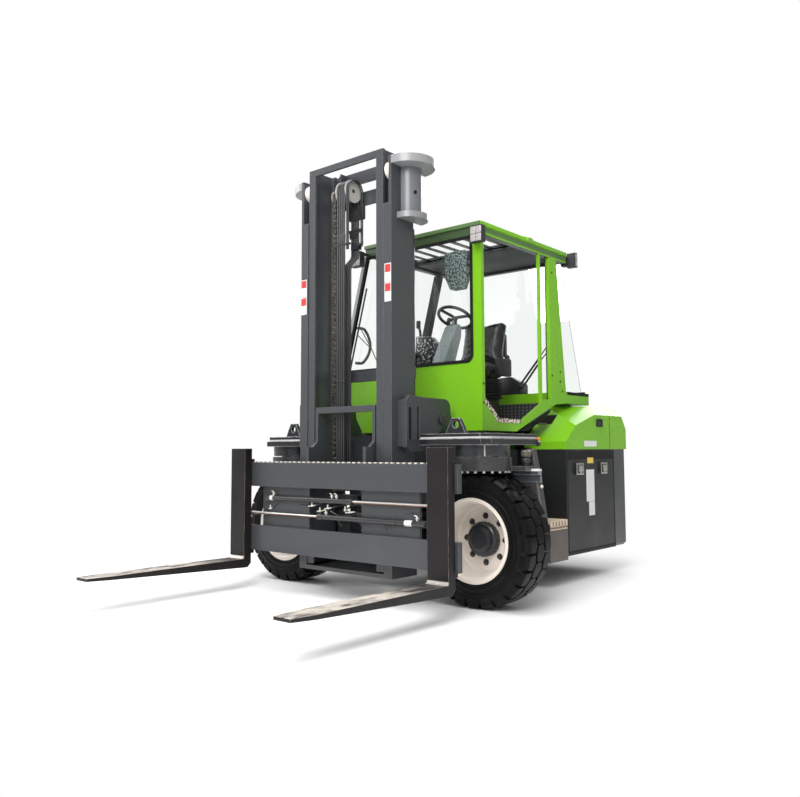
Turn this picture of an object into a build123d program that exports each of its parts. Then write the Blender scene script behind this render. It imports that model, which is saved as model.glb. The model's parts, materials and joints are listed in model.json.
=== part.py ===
"""Multidirectional forklift, electric, with a tilting two-stage mast and fork positioners.

Millimetres, +Z up, +X is the truck's left, the forks point to -Y. Stations along Y are
measured from the forks' front faces and moved by Y_ORIGIN when a piece is saved, so that
the origin lies on the ground under the middle of the whole truck.
"""
from build123d import *
import math
import os

os.makedirs("parts", exist_ok=True)

# Overall
FORK_LENGTH = 1207.0
REAR_END = 2760.0
Y_ORIGIN = (FORK_LENGTH - REAR_END) / 2

# Running clearances
RUN = 0.05
SEAT = 0.3
EYE_PLAY = 2.0

# Forks and carriage
FORK_X = {"left": 967.0, "right": -897.0}
FORK_WIDTH = 158.0
FORK_THICK = 65.0
FORK_TIP_THICK = 18.0
FORK_TIP_WIDTH = 120.0
FORK_UNDERSIDE = 155.0
FORK_TOP = 1023.0
CARRIAGE_HALF = 1064.0
BAR_FRONT = 71.0
BAR_THICK = 42.0
UPPER_BAR = (747.0, 920.0)
LOWER_BAR = (282.0, 461.0)
BACK_PLATE_X = (250.0, 740.0)
BACK_PLATE_THICK = 24.0
ROLLER_PLATE_X = (262.0, 286.0)
ROLLER_PLATE_TOP = 1312.0
ROLLER_PLATE_FOOT = 1030.0
CARRIAGE_ROLLER_RADIUS = 82.0
CARRIAGE_ROLLER_Z = (420.0, 1180.0)
POSITIONER_Y = 92.0
POSITIONER_Z = {"left": 665.0, "right": 552.0}
POSITIONER_RADIUS = 18.0
POSITIONER_ROD_RADIUS = 10.0
POSITIONER_BARREL = {"left": (-653.0, 166.0), "right": (-114.0, 785.0)}

# Mast
RAIL_FRONT = 200.0
RAIL_DEPTH = 235.0
OUTER_X = (368.0, 439.0)
OUTER_WEB = 22.0
OUTER_FLANGE = 22.0
OUTER_BOTTOM = 170.0
OUTER_TOP = 3000.0
OUTER_FLANGE_TOP = 2677.0
INNER_X = (300.0, 362.0)
INNER_WEB_X = (334.0, 350.0)
INNER_INSET = 4.0
INNER_FLANGE = 22.0
INNER_BOTTOM = 210.0
INNER_TOP = 3066.0
ROLLER_RADIUS = 64.0
ROLLER_Y = 274.0
ROLLER_Z = OUTER_TOP - 83.0
CHAIN_X = 222.0
CHAIN_WIDTH = 40.0
CHAIN_FRONT_Y = 330.0
CHAIN_LOOP_RADIUS = 40.0
CHAIN_THICK = 22.0
SHEAVE_Z = INNER_TOP - 186.0
SHEAVE_SIDE = 6.0
TOP_BAR_DROP = 26.0
HOSE_SHEAVE = (-95.0, 340.0, INNER_TOP - 181.0)
HOSE_SHEAVE_RADIUS = 84.0
HOSE_SHEAVE_WIDTH = 100.0
HOSE_DRUM_RADIUS = 66.0
HOSE_RADIUS = 8.0
HOSE_PITCH = 21.0
HOSE_COUNT = 4
HOSE_END = 720.0
HOSE_BEND = (60.0, 69.0, HOSE_SHEAVE[2] - 445.0)
DISC_UPPER = (385.0, 185.0, 2942.0, 2998.0)
DISC_LOWER = (391.0, 131.0, 2578.0, 2618.0)
CASING_RADIUS = 89.0
LIFT_CYLINDER = (350.0, 500.0)
LIFT_BARREL_RADIUS = 37.0
LIFT_ROD_RADIUS = 26.0
LIFT_BARREL_Z = (215.0, 2560.0)
PIVOT_Y = 646.0
PIVOT_Z = 1214.0
PIVOT_RADIUS = 34.0
CHEEK_X = (446.0, 478.0)
PIVOT_PLATE_X = (484.0, 514.0)

# Wheels and turrets
WHEEL_X = 896.0
WHEEL_Y = 585.0
TYRE_RADIUS = 428.0
TYRE_WIDTH = 280.0
RIM_RADIUS = 266.0
AXLE_RADIUS = 50.0
HUB_RADIUS = 108.0
HUB_REACH = 82.0
RIM_DISC = 26.0
SPINDLE_RADIUS = 120.0
DRUM_RADIUS = 178.0
DRUM_Z = (964.0, 1039.0)
YOKE_TOP = (872.0, 958.0)
YOKE_BRACKET_TOP = YOKE_TOP[0] + 28.0
YOKE_LEG_Y = (157.0, 214.0)
REAR_WHEEL_Y = 2130.0
REAR_TYRE_RADIUS = 300.0
REAR_TYRE_WIDTH = 180.0
REAR_RIM_RADIUS = 190.0
REAR_LEG_HALF = 34.0
REAR_DRUM_Z = (705.0, 760.0)

# Chassis
DECK_LOWER = (1039.0, 1079.0)
DECK_UPPER = (1079.0, 1113.0)
DECK_HALF = 1070.0
DECK_CORNER = 50.0
DECK_FRONT = 380.0
DECK_REAR = 1000.0
DECK_END = 1300.0
DECK_NOTCH = PIVOT_PLATE_X[1] + 8.0
MOTOR_RADIUS = 40.0
MOTOR_PLACE = (134.0, 345.0)
MOTOR_TOP = 1014.0
FRAME_HALF = 466.0
FRAME_FRONT = 745.0
FRAME_BOTTOM = 250.0
FRAME_WALL = 20.0
BODY_HALF = 900.0
HOOD_WIDTH = 196.0
CAB_GAP = 14.0
STEP_DEPTH = 260.0
HINGE_RADIUS = 8.0
BOX_FRONT = 1700.0
BOX_REAR = 2520.0
BOX_BOTTOM = 205.0
BOX_TOP = 1010.0
BOX_WALL = 10.0
DOOR_HINGE_Z = BOX_BOTTOM + BOX_WALL + HINGE_RADIUS + SEAT

# Cab
HOOD_INNER = BODY_HALF - HOOD_WIDTH
HOOD_ROOT = 530.0
HOOD_LIP = 61.0
CAB_LEFT = HOOD_INNER - CAB_GAP
CAB_RIGHT_LOW = -CAB_LEFT - 10.0
CAB_RIGHT_HIGH = -428.0
CAB_FRONT = 885.0
CAB_REAR = 2142.0
CAB_SILL = 1629.0
CAB_BOTTOM = 1143.0
CAB_FLOOR = 1218.0
CAB_WALL = 6.0
ROOF_BOTTOM = 2560.0
ROOF_TOP = 2640.0
LEDGE_REAR = 2500.0
LEDGE_SLAB = 1385.0
LEDGE_Z = (1400.0, 1483.0)
HOOD_TOP = 1368.0
LID_GAP = 10.0
LID_HINGE_RADIUS = 10.0
CAB_END = 2108.0
SILL_CUT = ((1920.0, 1368.0), (1370.0, 1157.0))
SEAT_X = 60.0
WHEEL_TURN = Pos(SEAT_X, 1434, 2083) * Rot(-30, 0, 0)
RIGHT_PILLAR_WIDTH = 60.0
RIGHT_PILLAR_Y = (1818.0, 1876.0)
LAMP_LEFT_X = CAB_LEFT + 23.0
LAMP_RIGHT_X = CAB_RIGHT_HIGH - 23.0
LAMP_HALF = 50.0
LAMP_Z = (ROOF_BOTTOM - 90.0, ROOF_BOTTOM + 30.0)
REAR_LAMP_Z = (ROOF_BOTTOM - 30.0, ROOF_TOP + 10.0)


def box(x0, x1, y0, y1, z0, z1):
    """Return a block between the given corners."""
    lo = (min(x0, x1), min(y0, y1), min(z0, z1))
    size = (abs(x1 - x0), abs(y1 - y0), abs(z1 - z0))
    return Pos(*lo) * Box(*size, align=(Align.MIN, Align.MIN, Align.MIN))


def rod(axis, radius, centre, start, end):
    """Return a cylinder along one axis; centre holds the other two coordinates in order."""
    body = Cylinder(radius, abs(end - start), align=(Align.CENTER, Align.CENTER, Align.MIN))
    low = min(start, end)
    if axis == "x":
        return Pos(low, centre[0], centre[1]) * Rot(0, 90, 0) * body
    if axis == "y":
        return Pos(centre[0], low, centre[1]) * Rot(-90, 0, 0) * body
    return Pos(centre[0], centre[1], low) * body


def plate(axis, points, start, end):
    """Return a plate extruded along an axis from a closed outline in the other two."""
    if axis == "x":
        plane = Plane(origin=(min(start, end), 0, 0), x_dir=(0, 1, 0), z_dir=(1, 0, 0))
        outline = points
    elif axis == "y":
        plane = Plane(origin=(0, min(start, end), 0), x_dir=(-1, 0, 0), z_dir=(0, 1, 0))
        outline = [(-a, b) for a, b in points]
    else:
        plane = Plane(origin=(0, 0, min(start, end)), x_dir=(1, 0, 0), z_dir=(0, 0, 1))
        outline = points
    wire = Wire.make_polygon([plane.from_local_coords((a, b, 0)) for a, b in outline], close=True)
    return Solid.extrude(Face(wire), plane.z_dir * abs(end - start))


def turned(points, centre, axis):
    """Return a body turned about an axis from its half outline of (along, radius) pairs."""
    wire = Wire.make_polygon([(r, 0, a) for a, r in points], close=True)
    body = Solid.revolve(Face(wire), 360, Axis.Z)
    turn = {"x": Rot(0, 90, 0), "y": Rot(-90, 0, 0), "z": Rot(0, 0, 0)}[axis]
    return Pos(*centre) * turn * body


def keep_below(body, points):
    """Cut a body with the plane through three points and return the part under it."""
    a, b, c = (Vector(*p) for p in points)
    normal = (b - a).cross(c - a).normalized()
    if normal.Z < 0:
        normal = normal * -1
    return split(body, bisect_by=Plane(origin=a, z_dir=normal), keep=Keep.BOTTOM)


def both(body):
    """Return a body and its mirror image across the middle plane."""
    return [body, mirror(body, about=Plane.YZ)]


def solids_of(items):
    """Return every solid in a list of shapes."""
    found = []
    for item in items:
        found += list(item.solids())
    return found


def save(name, items):
    """Write one piece, moved to the shared origin."""
    solids = [Pos(0, Y_ORIGIN, 0) * s for s in solids_of(items)]
    export_step(Compound(children=solids, label=name), f"parts/{name}.step")


# Forks

def fork(x):
    """Return one fork: shank, blade tapering to its tip, and the two hooks."""
    half = FORK_WIDTH / 2
    blade_top = FORK_UNDERSIDE + FORK_THICK
    side = [
        (0, FORK_TOP), (FORK_THICK, FORK_TOP), (FORK_THICK, FORK_UNDERSIDE + 30),
        (FORK_THICK - 30, FORK_UNDERSIDE), (-FORK_LENGTH, blade_top - FORK_TIP_THICK),
        (-FORK_LENGTH, blade_top), (0, blade_top),
    ]
    body = plate("x", side, x - half, x + half)
    top = [
        (x - half, FORK_THICK + 1), (x + half, FORK_THICK + 1), (x + half, -FORK_LENGTH + 160),
        (x + FORK_TIP_WIDTH / 2, -FORK_LENGTH - 1), (x - FORK_TIP_WIDTH / 2, -FORK_LENGTH - 1),
        (x - half, -FORK_LENGTH + 160),
    ]
    body = body & plate("z", top, 0, FORK_TOP + 1)
    for bar, sign in ((UPPER_BAR, 1), (LOWER_BAR, -1)):
        edge = bar[1] if sign > 0 else bar[0]
        lip = [
            (FORK_THICK - 1, edge + sign * SEAT), (BAR_FRONT + BAR_THICK / 2, edge + sign * SEAT),
            (BAR_FRONT + BAR_THICK / 2, edge + sign * 26), (FORK_THICK - 1, edge + sign * 26),
        ]
        body = body + plate("x", lip, x - half, x + half)
    return body


def positioner_rod(side):
    """Return the bright rod that moves one fork, with its lug behind the shank."""
    x = FORK_X[side]
    sign = 1 if side == "left" else -1
    z = POSITIONER_Z[side]
    inner = POSITIONER_BARREL[side][1] if side == "left" else POSITIONER_BARREL[side][0]
    start = inner - sign * 60
    lug = box(x - 30, x + 30, FORK_THICK, POSITIONER_Y + 20, z - 28, z + 28)
    return [rod("x", POSITIONER_ROD_RADIUS, (POSITIONER_Y, z), start, x - sign * 30), lug]


def carriage_frame():
    """Return the carriage: two fork bars, back plates, roller plates and the top cross bar."""
    back = BAR_FRONT + BAR_THICK
    body = box(-CARRIAGE_HALF, CARRIAGE_HALF, BAR_FRONT, back, *UPPER_BAR)
    body += box(-CARRIAGE_HALF, CARRIAGE_HALF, BAR_FRONT, back, *LOWER_BAR)
    for panel in both(box(*BACK_PLATE_X, back, back + BACK_PLATE_THICK, LOWER_BAR[0], UPPER_BAR[1] - 20)):
        body += panel
    side = [
        (back, LOWER_BAR[0] + 20), (380, LOWER_BAR[0] + 20), (380, ROLLER_PLATE_TOP),
        (RAIL_FRONT + 5, ROLLER_PLATE_TOP), (RAIL_FRONT + 5, ROLLER_PLATE_FOOT + 40),
        (back + 45, ROLLER_PLATE_FOOT), (back, ROLLER_PLATE_FOOT),
    ]
    for panel in both(plate("x", side, *ROLLER_PLATE_X)):
        body += panel
    body += box(-ROLLER_PLATE_X[0], ROLLER_PLATE_X[0], RAIL_FRONT + 5, RAIL_FRONT + 50, ROLLER_PLATE_TOP - 42,
                ROLLER_PLATE_TOP)
    anchor = CHAIN_FRONT_Y - CHAIN_THICK / 2 - 7
    body += box(-ROLLER_PLATE_X[0], ROLLER_PLATE_X[0], anchor - 22, anchor, 640, 700)
    return body


def carriage_rollers():
    """Return the carriage's rollers, which run inside the inner rails."""
    found = []
    middle = RAIL_FRONT + RAIL_DEPTH / 2
    for z in CARRIAGE_ROLLER_Z:
        found += both(rod("x", CARRIAGE_ROLLER_RADIUS, (middle, z), ROLLER_PLATE_X[1] + SEAT, INNER_WEB_X[0] - SEAT))
    return found


def positioner_barrels():
    """Return both positioner barrels with the bores that their rods run in."""
    found = []
    for side in ("left", "right"):
        x0, x1 = POSITIONER_BARREL[side]
        z = POSITIONER_Z[side]
        body = rod("x", POSITIONER_RADIUS, (POSITIONER_Y, z), x0, x1)
        if side == "left":
            body -= rod("x", POSITIONER_ROD_RADIUS + RUN, (POSITIONER_Y, z), x0 + 30, x1 + 1)
        else:
            body -= rod("x", POSITIONER_ROD_RADIUS + RUN, (POSITIONER_Y, z), x0 - 1, x1 - 30)
        found.append(body)
    return found


# Mast

def outer_rail():
    """Return the left outer rail, a channel that opens inward, its front flange cut short."""
    x0, x1 = OUTER_X
    back = RAIL_FRONT + RAIL_DEPTH
    rail = box(x1 - OUTER_WEB, x1, RAIL_FRONT, back, OUTER_BOTTOM, OUTER_TOP)
    rail += box(x0, x1, RAIL_FRONT, RAIL_FRONT + OUTER_FLANGE, OUTER_BOTTOM, OUTER_FLANGE_TOP)
    rail += box(x0, x1, back - OUTER_FLANGE, back, OUTER_BOTTOM, OUTER_TOP)
    return rail


def mast_outer():
    """Return the outer mast: both rails, its foot and the cross members behind the inner rails."""
    back = RAIL_FRONT + RAIL_DEPTH
    body = None
    for rail in both(outer_rail()):
        body = rail if body is None else body + rail
    members = ((OUTER_BOTTOM, 330.0), (1500.0, 1580.0), (2800.0, 2900.0))
    for z0, z1 in members:
        body += box(-OUTER_X[1], OUTER_X[1], back, back + 22, z0, z1)
    body += box(-OUTER_X[1], OUTER_X[1], RAIL_FRONT, back + 22, OUTER_BOTTOM, OUTER_BOTTOM + 28)
    for lug in tilt_mast_lugs():
        body += lug
    return body


def pivot_plates():
    """Return the slotted plates that carry the outer mast on its pivot pins."""
    outline = [
        (262, 1340), (300, 1374), (440, 1363), (560, 1300), (660, 1250), (704, 1225), (700, 1180),
        (640, 1150), (524, 1051), (450, 1000), (300, 996), (262, 1030),
    ]
    body = plate("x", outline, *PIVOT_PLATE_X)
    body += box(OUTER_X[1], PIVOT_PLATE_X[0], 262, 430, 1030, 1340)
    body -= box(OUTER_X[1] + 12, PIVOT_PLATE_X[1] + 1, 376, 398, 1060, 1296)
    body -= rod("x", PIVOT_RADIUS + RUN, (PIVOT_Y, PIVOT_Z), PIVOT_PLATE_X[0] - 1, PIVOT_PLATE_X[1] + 1)
    return both(body)


def mast_inner():
    """Return the inner mast: two I-shaped rails with their cross bars."""
    front = RAIL_FRONT + INNER_INSET
    back = RAIL_FRONT + RAIL_DEPTH - INNER_INSET
    rail = box(*INNER_WEB_X, front, back, INNER_BOTTOM, INNER_TOP)
    rail += box(*INNER_X, front, front + INNER_FLANGE, INNER_BOTTOM, INNER_TOP)
    rail += box(*INNER_X, back - INNER_FLANGE, back, INNER_BOTTOM, INNER_TOP)
    body = None
    for side in both(rail):
        body = side if body is None else body + side
    body += box(-INNER_X[0], INNER_X[0], front, front + 22, INNER_TOP - 47, INNER_TOP)
    body += box(-INNER_X[0], INNER_X[0], back - 44, back, INNER_TOP - TOP_BAR_DROP - 80, INNER_TOP - TOP_BAR_DROP)
    body += box(-INNER_X[0], INNER_X[0], back - 20, back, 240, 330)
    for bracket in sheave_brackets():
        body += bracket
    return body


def lift_barrels():
    """Return the two lift cylinder barrels behind the outer rails."""
    x, y = LIFT_CYLINDER
    low, high = LIFT_BARREL_Z
    body = rod("z", LIFT_BARREL_RADIUS, (x, y), low, high)
    body -= rod("z", LIFT_ROD_RADIUS + RUN, (x, y), low + 30, high + 1)
    body += box(x - 30, x + 30, RAIL_FRONT + RAIL_DEPTH + 22, y - 20, low, low + 100) - body
    return both(body)


def lift_rods():
    """Return the lift rods and the arms that hang the inner mast on them."""
    x, y = LIFT_CYLINDER
    arm_top = 3060.0
    body = rod("z", LIFT_ROD_RADIUS, (x, y), LIFT_BARREL_Z[0] + 585, arm_top - 20)
    body += box(x - 50, x + 12, RAIL_FRONT + RAIL_DEPTH - INNER_INSET, y + 30, arm_top - 40, arm_top)
    return both(body)


def top_rollers():
    """Return the rollers at the outer rails' tops."""
    return both(rod("x", ROLLER_RADIUS, (ROLLER_Y, ROLLER_Z), INNER_X[1] + 8, OUTER_X[1] - OUTER_WEB))


def top_brackets():
    """Return the rounded brackets on the outer rails' tops."""
    x0 = OUTER_X[1]
    body = rod("z", CASING_RADIUS, (x0, DISC_LOWER[0]), DISC_LOWER[2], DISC_UPPER[3])
    for y, radius, z0, z1 in (DISC_LOWER, DISC_UPPER):
        body += rod("z", radius, (x0, y), z0, z1)
    body = body & box(x0, x0 + 300, 0, 900, DISC_LOWER[2], DISC_UPPER[3])
    hole = Pos(x0, DISC_LOWER[0], 2760) * Rot(0, 0, -20) * rod("x", 16, (0, 0), 40, 200)
    body -= hole
    body += box(x0, x0 + 16, 300, 340, DISC_UPPER[3] - 1, DISC_UPPER[3] + 36)
    return both(body)


def chain_sheaves():
    """Return the chain sheaves on the inner mast's top."""
    y = CHAIN_FRONT_Y + CHAIN_LOOP_RADIUS
    half = CHAIN_WIDTH / 2
    body = rod("x", CHAIN_LOOP_RADIUS - CHAIN_THICK / 2 - SEAT, (y, SHEAVE_Z), CHAIN_X - half, CHAIN_X + half)
    for x in (CHAIN_X - half - SHEAVE_SIDE, CHAIN_X + half):
        body += rod("x", CHAIN_LOOP_RADIUS + 12, (y, SHEAVE_Z), x, x + SHEAVE_SIDE)
    body += rod("x", 14, (y, SHEAVE_Z), CHAIN_X - half - 14, CHAIN_X + half + 14)
    return both(body) + [hose_sheave()]


def hose_sheave():
    """Return the single flanged sheave that the hoses run over."""
    half = HOSE_SHEAVE_WIDTH / 2
    rim = half - SHEAVE_SIDE
    points = [
        (-half, 14 + RUN), (-half, HOSE_SHEAVE_RADIUS), (-rim, HOSE_SHEAVE_RADIUS), (-rim, HOSE_DRUM_RADIUS),
        (rim, HOSE_DRUM_RADIUS), (rim, HOSE_SHEAVE_RADIUS), (half, HOSE_SHEAVE_RADIUS), (half, 14 + RUN),
    ]
    return turned(points, HOSE_SHEAVE, "x")


def bent_path(knots):
    """Return a wire of lines and arcs; a knot of two points is an arc's middle and its end."""
    edges = []
    spot = knots[0]
    for knot in knots[1:]:
        if len(knot) == 2:
            edges.append(Edge.make_three_point_arc(spot, *knot))
            spot = knot[1]
        else:
            edges.append(Edge.make_line(spot, knot))
            spot = knot
    return Wire(edges)


def mast_hoses():
    """Return the hoses that hang over their sheave and bend forward behind it."""
    x, y, z = HOSE_SHEAVE
    turn = HOSE_DRUM_RADIUS + HOSE_RADIUS + SEAT
    radius, slope, start = HOSE_BEND
    c45 = math.sqrt(0.5)
    c22 = math.cos(math.pi / 8)
    s22 = math.sin(math.pi / 8)
    rear = y + turn
    knee = (rear - radius * (1 - c45), start - radius * c45)
    foot = (knee[0] - slope * c45, knee[1] - slope * c45)
    down = (foot[0] - radius * (1 - c45), foot[1] - radius * c45)
    found = []
    for i in range(HOSE_COUNT):
        xi = x + (i - (HOSE_COUNT - 1) / 2) * HOSE_PITCH
        path = bent_path([
            (xi, y - turn, HOSE_END), (xi, y - turn, z), ((xi, y, z + turn), (xi, rear, z)), (xi, rear, start),
            ((xi, rear - radius * (1 - c22), start - radius * s22), (xi, *knee)), (xi, *foot),
            ((xi, down[0] + radius * (1 - c22), down[1] + radius * s22), (xi, *down)), (xi, down[0], HOSE_END),
        ])
        found.append(sweep(Plane((xi, y - turn, HOSE_END), z_dir=(0, 0, 1)) * Circle(HOSE_RADIUS), path=path))
    return found


def sheave_brackets():
    """Return the plates that hang the sheaves from the rear top bar."""
    y = CHAIN_FRONT_Y + CHAIN_LOOP_RADIUS
    half = CHAIN_WIDTH / 2
    found = []
    for x in (CHAIN_X - half - SHEAVE_SIDE - 8, CHAIN_X + half + SHEAVE_SIDE + 2):
        body = box(x, x + 6, y - 24, 400, SHEAVE_Z - 24, INNER_TOP - TOP_BAR_DROP - 10)
        body -= rod("x", 14 + RUN, (y, SHEAVE_Z), x - 1, x + 7)
        found += both(body)
    x, y, z = HOSE_SHEAVE
    start = x - HOSE_SHEAVE_WIDTH / 2 - 10
    arm = box(start, start + 8, y - 24, 400, z - 24, INNER_TOP - TOP_BAR_DROP - 10)
    arm += rod("x", 14, (y, z), start, x + HOSE_SHEAVE_WIDTH / 2 + 4)
    found.append(arm)
    return found


def chains():
    """Return the lift chains over their sheaves."""
    y = CHAIN_FRONT_Y + CHAIN_LOOP_RADIUS
    half = CHAIN_WIDTH / 2 - 1
    t = CHAIN_THICK / 2
    x0 = CHAIN_X - half
    x1 = CHAIN_X + half
    ring = rod("x", CHAIN_LOOP_RADIUS + t, (y, SHEAVE_Z), x0, x1)
    ring -= rod("x", CHAIN_LOOP_RADIUS - t, (y, SHEAVE_Z), x0 - 1, x1 + 1)
    ring = ring & box(x0, x1, 0, 600, SHEAVE_Z, SHEAVE_Z + 200)
    ring += box(x0, x1, CHAIN_FRONT_Y - t, CHAIN_FRONT_Y + t, 700, SHEAVE_Z)
    rear = CHAIN_FRONT_Y + 2 * CHAIN_LOOP_RADIUS
    ring += box(x0, x1, rear - t, rear + t, 1650, SHEAVE_Z)
    return both(ring)


# Tilt

def tilt_barrels():
    """Return the two tilt cylinder barrels, hinged in the frame's front wall."""
    found = []
    for x in (-230.0, 230.0):
        body = rod("y", 45, (x, 520), 640, 850)
        body -= rod("y", 25 + RUN, (x, 520), 630, 820)
        body += box(x - 20, x + 20, 845, 900, 495, 545)
        body -= rod("x", 14 + RUN, (880, 520), x - 30, x + 30)
        found.append(body)
    return found


def tilt_rods():
    """Return the two tilt rods with their eyes behind the outer mast."""
    found = []
    for x in (-230.0, 230.0):
        body = rod("y", 25, (x, 520), 520, 800)
        body += rod("x", 30, (500, 520), x - 20, x + 20)
        body -= rod("x", 14 + EYE_PLAY, (500, 520), x - 30, x + 30)
        found.append(body)
    return found


def tilt_mast_lugs():
    """Return the forks on the outer mast that hold the tilt rods' eyes."""
    found = []
    back = RAIL_FRONT + RAIL_DEPTH + 22
    for x in (-230.0, 230.0):
        body = box(x - 60, x + 60, back - 22, back, OUTER_BOTTOM, 570)
        for side in (-46, 26):
            body += box(x + side, x + side + 20, back, 530, 490, 550)
        body += rod("x", 14, (500, 520), x - 46, x + 46)
        found.append(body)
    return found


# Wheels

def tyre(radius, width, bore, centre):
    """Return a tyre with rounded shoulders."""
    half = width / 2
    points = [
        (-half + 14, bore), (-half, bore + 30), (-half, radius - 50), (-half + 12, radius - 18),
        (-half + 38, radius), (half - 38, radius), (half - 12, radius - 18), (half, radius - 50),
        (half, bore + 30), (half - 14, bore),
    ]
    return turned(points, centre, "y")


def front_rim(centre):
    """Return a rim with its deep disc, open to the front."""
    half = TYRE_WIDTH / 2
    r = RIM_RADIUS - SEAT
    disc = RIM_DISC
    points = [
        (-half + 4, r), (-half + 4, r - 16), (-half + 12, r - 24), (-half + 34, r - 34), (disc - 12, r - 46),
        (disc, r - 62), (disc, HUB_RADIUS + SEAT), (disc + 18, HUB_RADIUS + SEAT), (disc + 18, r - 62),
        (disc + 26, r - 28), (half - 14, r - 22), (half - 14, r),
    ]
    return turned(points, centre, "y")


def front_hub(centre):
    """Return the dark hub with its cap, running on the axle."""
    front = RIM_DISC - HUB_REACH
    points = [
        (front, 0), (front, 58), (front + 8, 80), (front + 22, 84), (front + 22, HUB_RADIUS - 10),
        (front + 30, HUB_RADIUS), (148, HUB_RADIUS), (148, AXLE_RADIUS + RUN), (-16, AXLE_RADIUS + RUN), (-16, 0),
    ]
    return turned(points, centre, "y")


def front_yoke(x, sign):
    """Return one steering yoke: spindle, top flange, wide rear leg with its pad, and axle stub."""
    leg0 = WHEEL_Y + YOKE_LEG_Y[0]
    leg1 = WHEEL_Y + YOKE_LEG_Y[1]
    z = TYRE_RADIUS
    body = rod("z", SPINDLE_RADIUS, (x, WHEEL_Y), YOKE_TOP[0], DRUM_Z[1] - 12)
    body += rod("z", 190, (x, WHEEL_Y), *YOKE_TOP)
    body += box(x - sign * 150, x + sign * 290, WHEEL_Y + 60, leg1, YOKE_TOP[0], YOKE_BRACKET_TOP)
    reach = MOTOR_PLACE[1] + MOTOR_RADIUS + 10
    body += box(x + sign * 60, x + sign * 190, leg1 - 10, WHEEL_Y + reach, YOKE_TOP[0], YOKE_BRACKET_TOP)
    leg = [
        (-285, YOKE_BRACKET_TOP), (215, YOKE_BRACKET_TOP), (240, 1007), (276, 1007), (313, 813), (352, 557),
        (340, 480), (150, z - 120), (-150, z - 120), (-340, 480), (-352, 557), (-300, YOKE_TOP[0]),
    ]
    body += plate("y", [(x + sign * a, b) for a, b in leg], leg0, leg1)
    pad = [
        (119, 800), (119, 855), (140, 876), (298, 882), (303, 868), (346, 562), (335, 600), (325, 637), (283, 737),
        (268, 772), (140, 772),
    ]
    body += plate("y", [(x + sign * a, b) for a, b in pad], leg0 - 12, leg0 + 1)
    body += rod("y", 80, (x, z), leg0 - 4, leg1)
    body += rod("y", AXLE_RADIUS, (x, z), WHEEL_Y - 12, leg1)
    return body


def rear_yoke():
    """Return the rear steering yoke: spindle, flange, middle leg and axle."""
    y = REAR_WHEEL_Y
    z = REAR_TYRE_RADIUS
    body = rod("z", 100, (0, y), 640, REAR_DRUM_Z[1] - 10)
    body += rod("z", 200, (0, y), 660, 695)
    body += box(-90, 90, y - REAR_LEG_HALF, y + REAR_LEG_HALF, z - 80, 670)
    body += rod("y", AXLE_RADIUS, (0, z), y - 190, y + 190)
    return body


def rear_wheel_parts():
    """Return the twin rear tyres and their rims."""
    tyres = []
    rims = []
    for sign in (-1, 1):
        centre = (0, REAR_WHEEL_Y + sign * (REAR_LEG_HALF + 12 + REAR_TYRE_WIDTH / 2), REAR_TYRE_RADIUS)
        tyres.append(tyre(REAR_TYRE_RADIUS, REAR_TYRE_WIDTH, REAR_RIM_RADIUS, centre))
        half = REAR_TYRE_WIDTH / 2
        points = [
            (-half + 8, REAR_RIM_RADIUS - SEAT), (-half + 8, REAR_RIM_RADIUS - 24), (-12, 110),
            (-half + 4, 90), (-half + 4, AXLE_RADIUS + RUN), (half - 4, AXLE_RADIUS + RUN),
            (half - 4, 90), (12, 110), (half - 8, REAR_RIM_RADIUS - 24), (half - 8, REAR_RIM_RADIUS - SEAT),
        ]
        rims.append(turned(points, centre, "y"))
    return tyres, rims


# Chassis

def deck_wings():
    """Return the deck's two wings, each with its drum that a yoke turns in and its lifting lug."""
    body = None
    inner = DECK_NOTCH + SEAT
    for z0, z1, inset in ((*DECK_LOWER, 0.0), (*DECK_UPPER, 14.0)):
        front = DECK_FRONT + inset
        end = DECK_HALF - inset
        layer = plate("z", [
            (inner, front), (end - DECK_CORNER, front), (end, front + DECK_CORNER), (end, DECK_REAR),
            (CAB_LEFT, DECK_END), (inner, DECK_END),
        ], z0, z1)
        body = layer if body is None else body + layer
    body += rod("z", DRUM_RADIUS, (WHEEL_X, WHEEL_Y), *DRUM_Z)
    body -= rod("z", SPINDLE_RADIUS + RUN, (WHEEL_X, WHEEL_Y), DRUM_Z[0] - 1, DRUM_Z[1] - 6)
    body += lifting_lug()
    return both(body)


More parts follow.
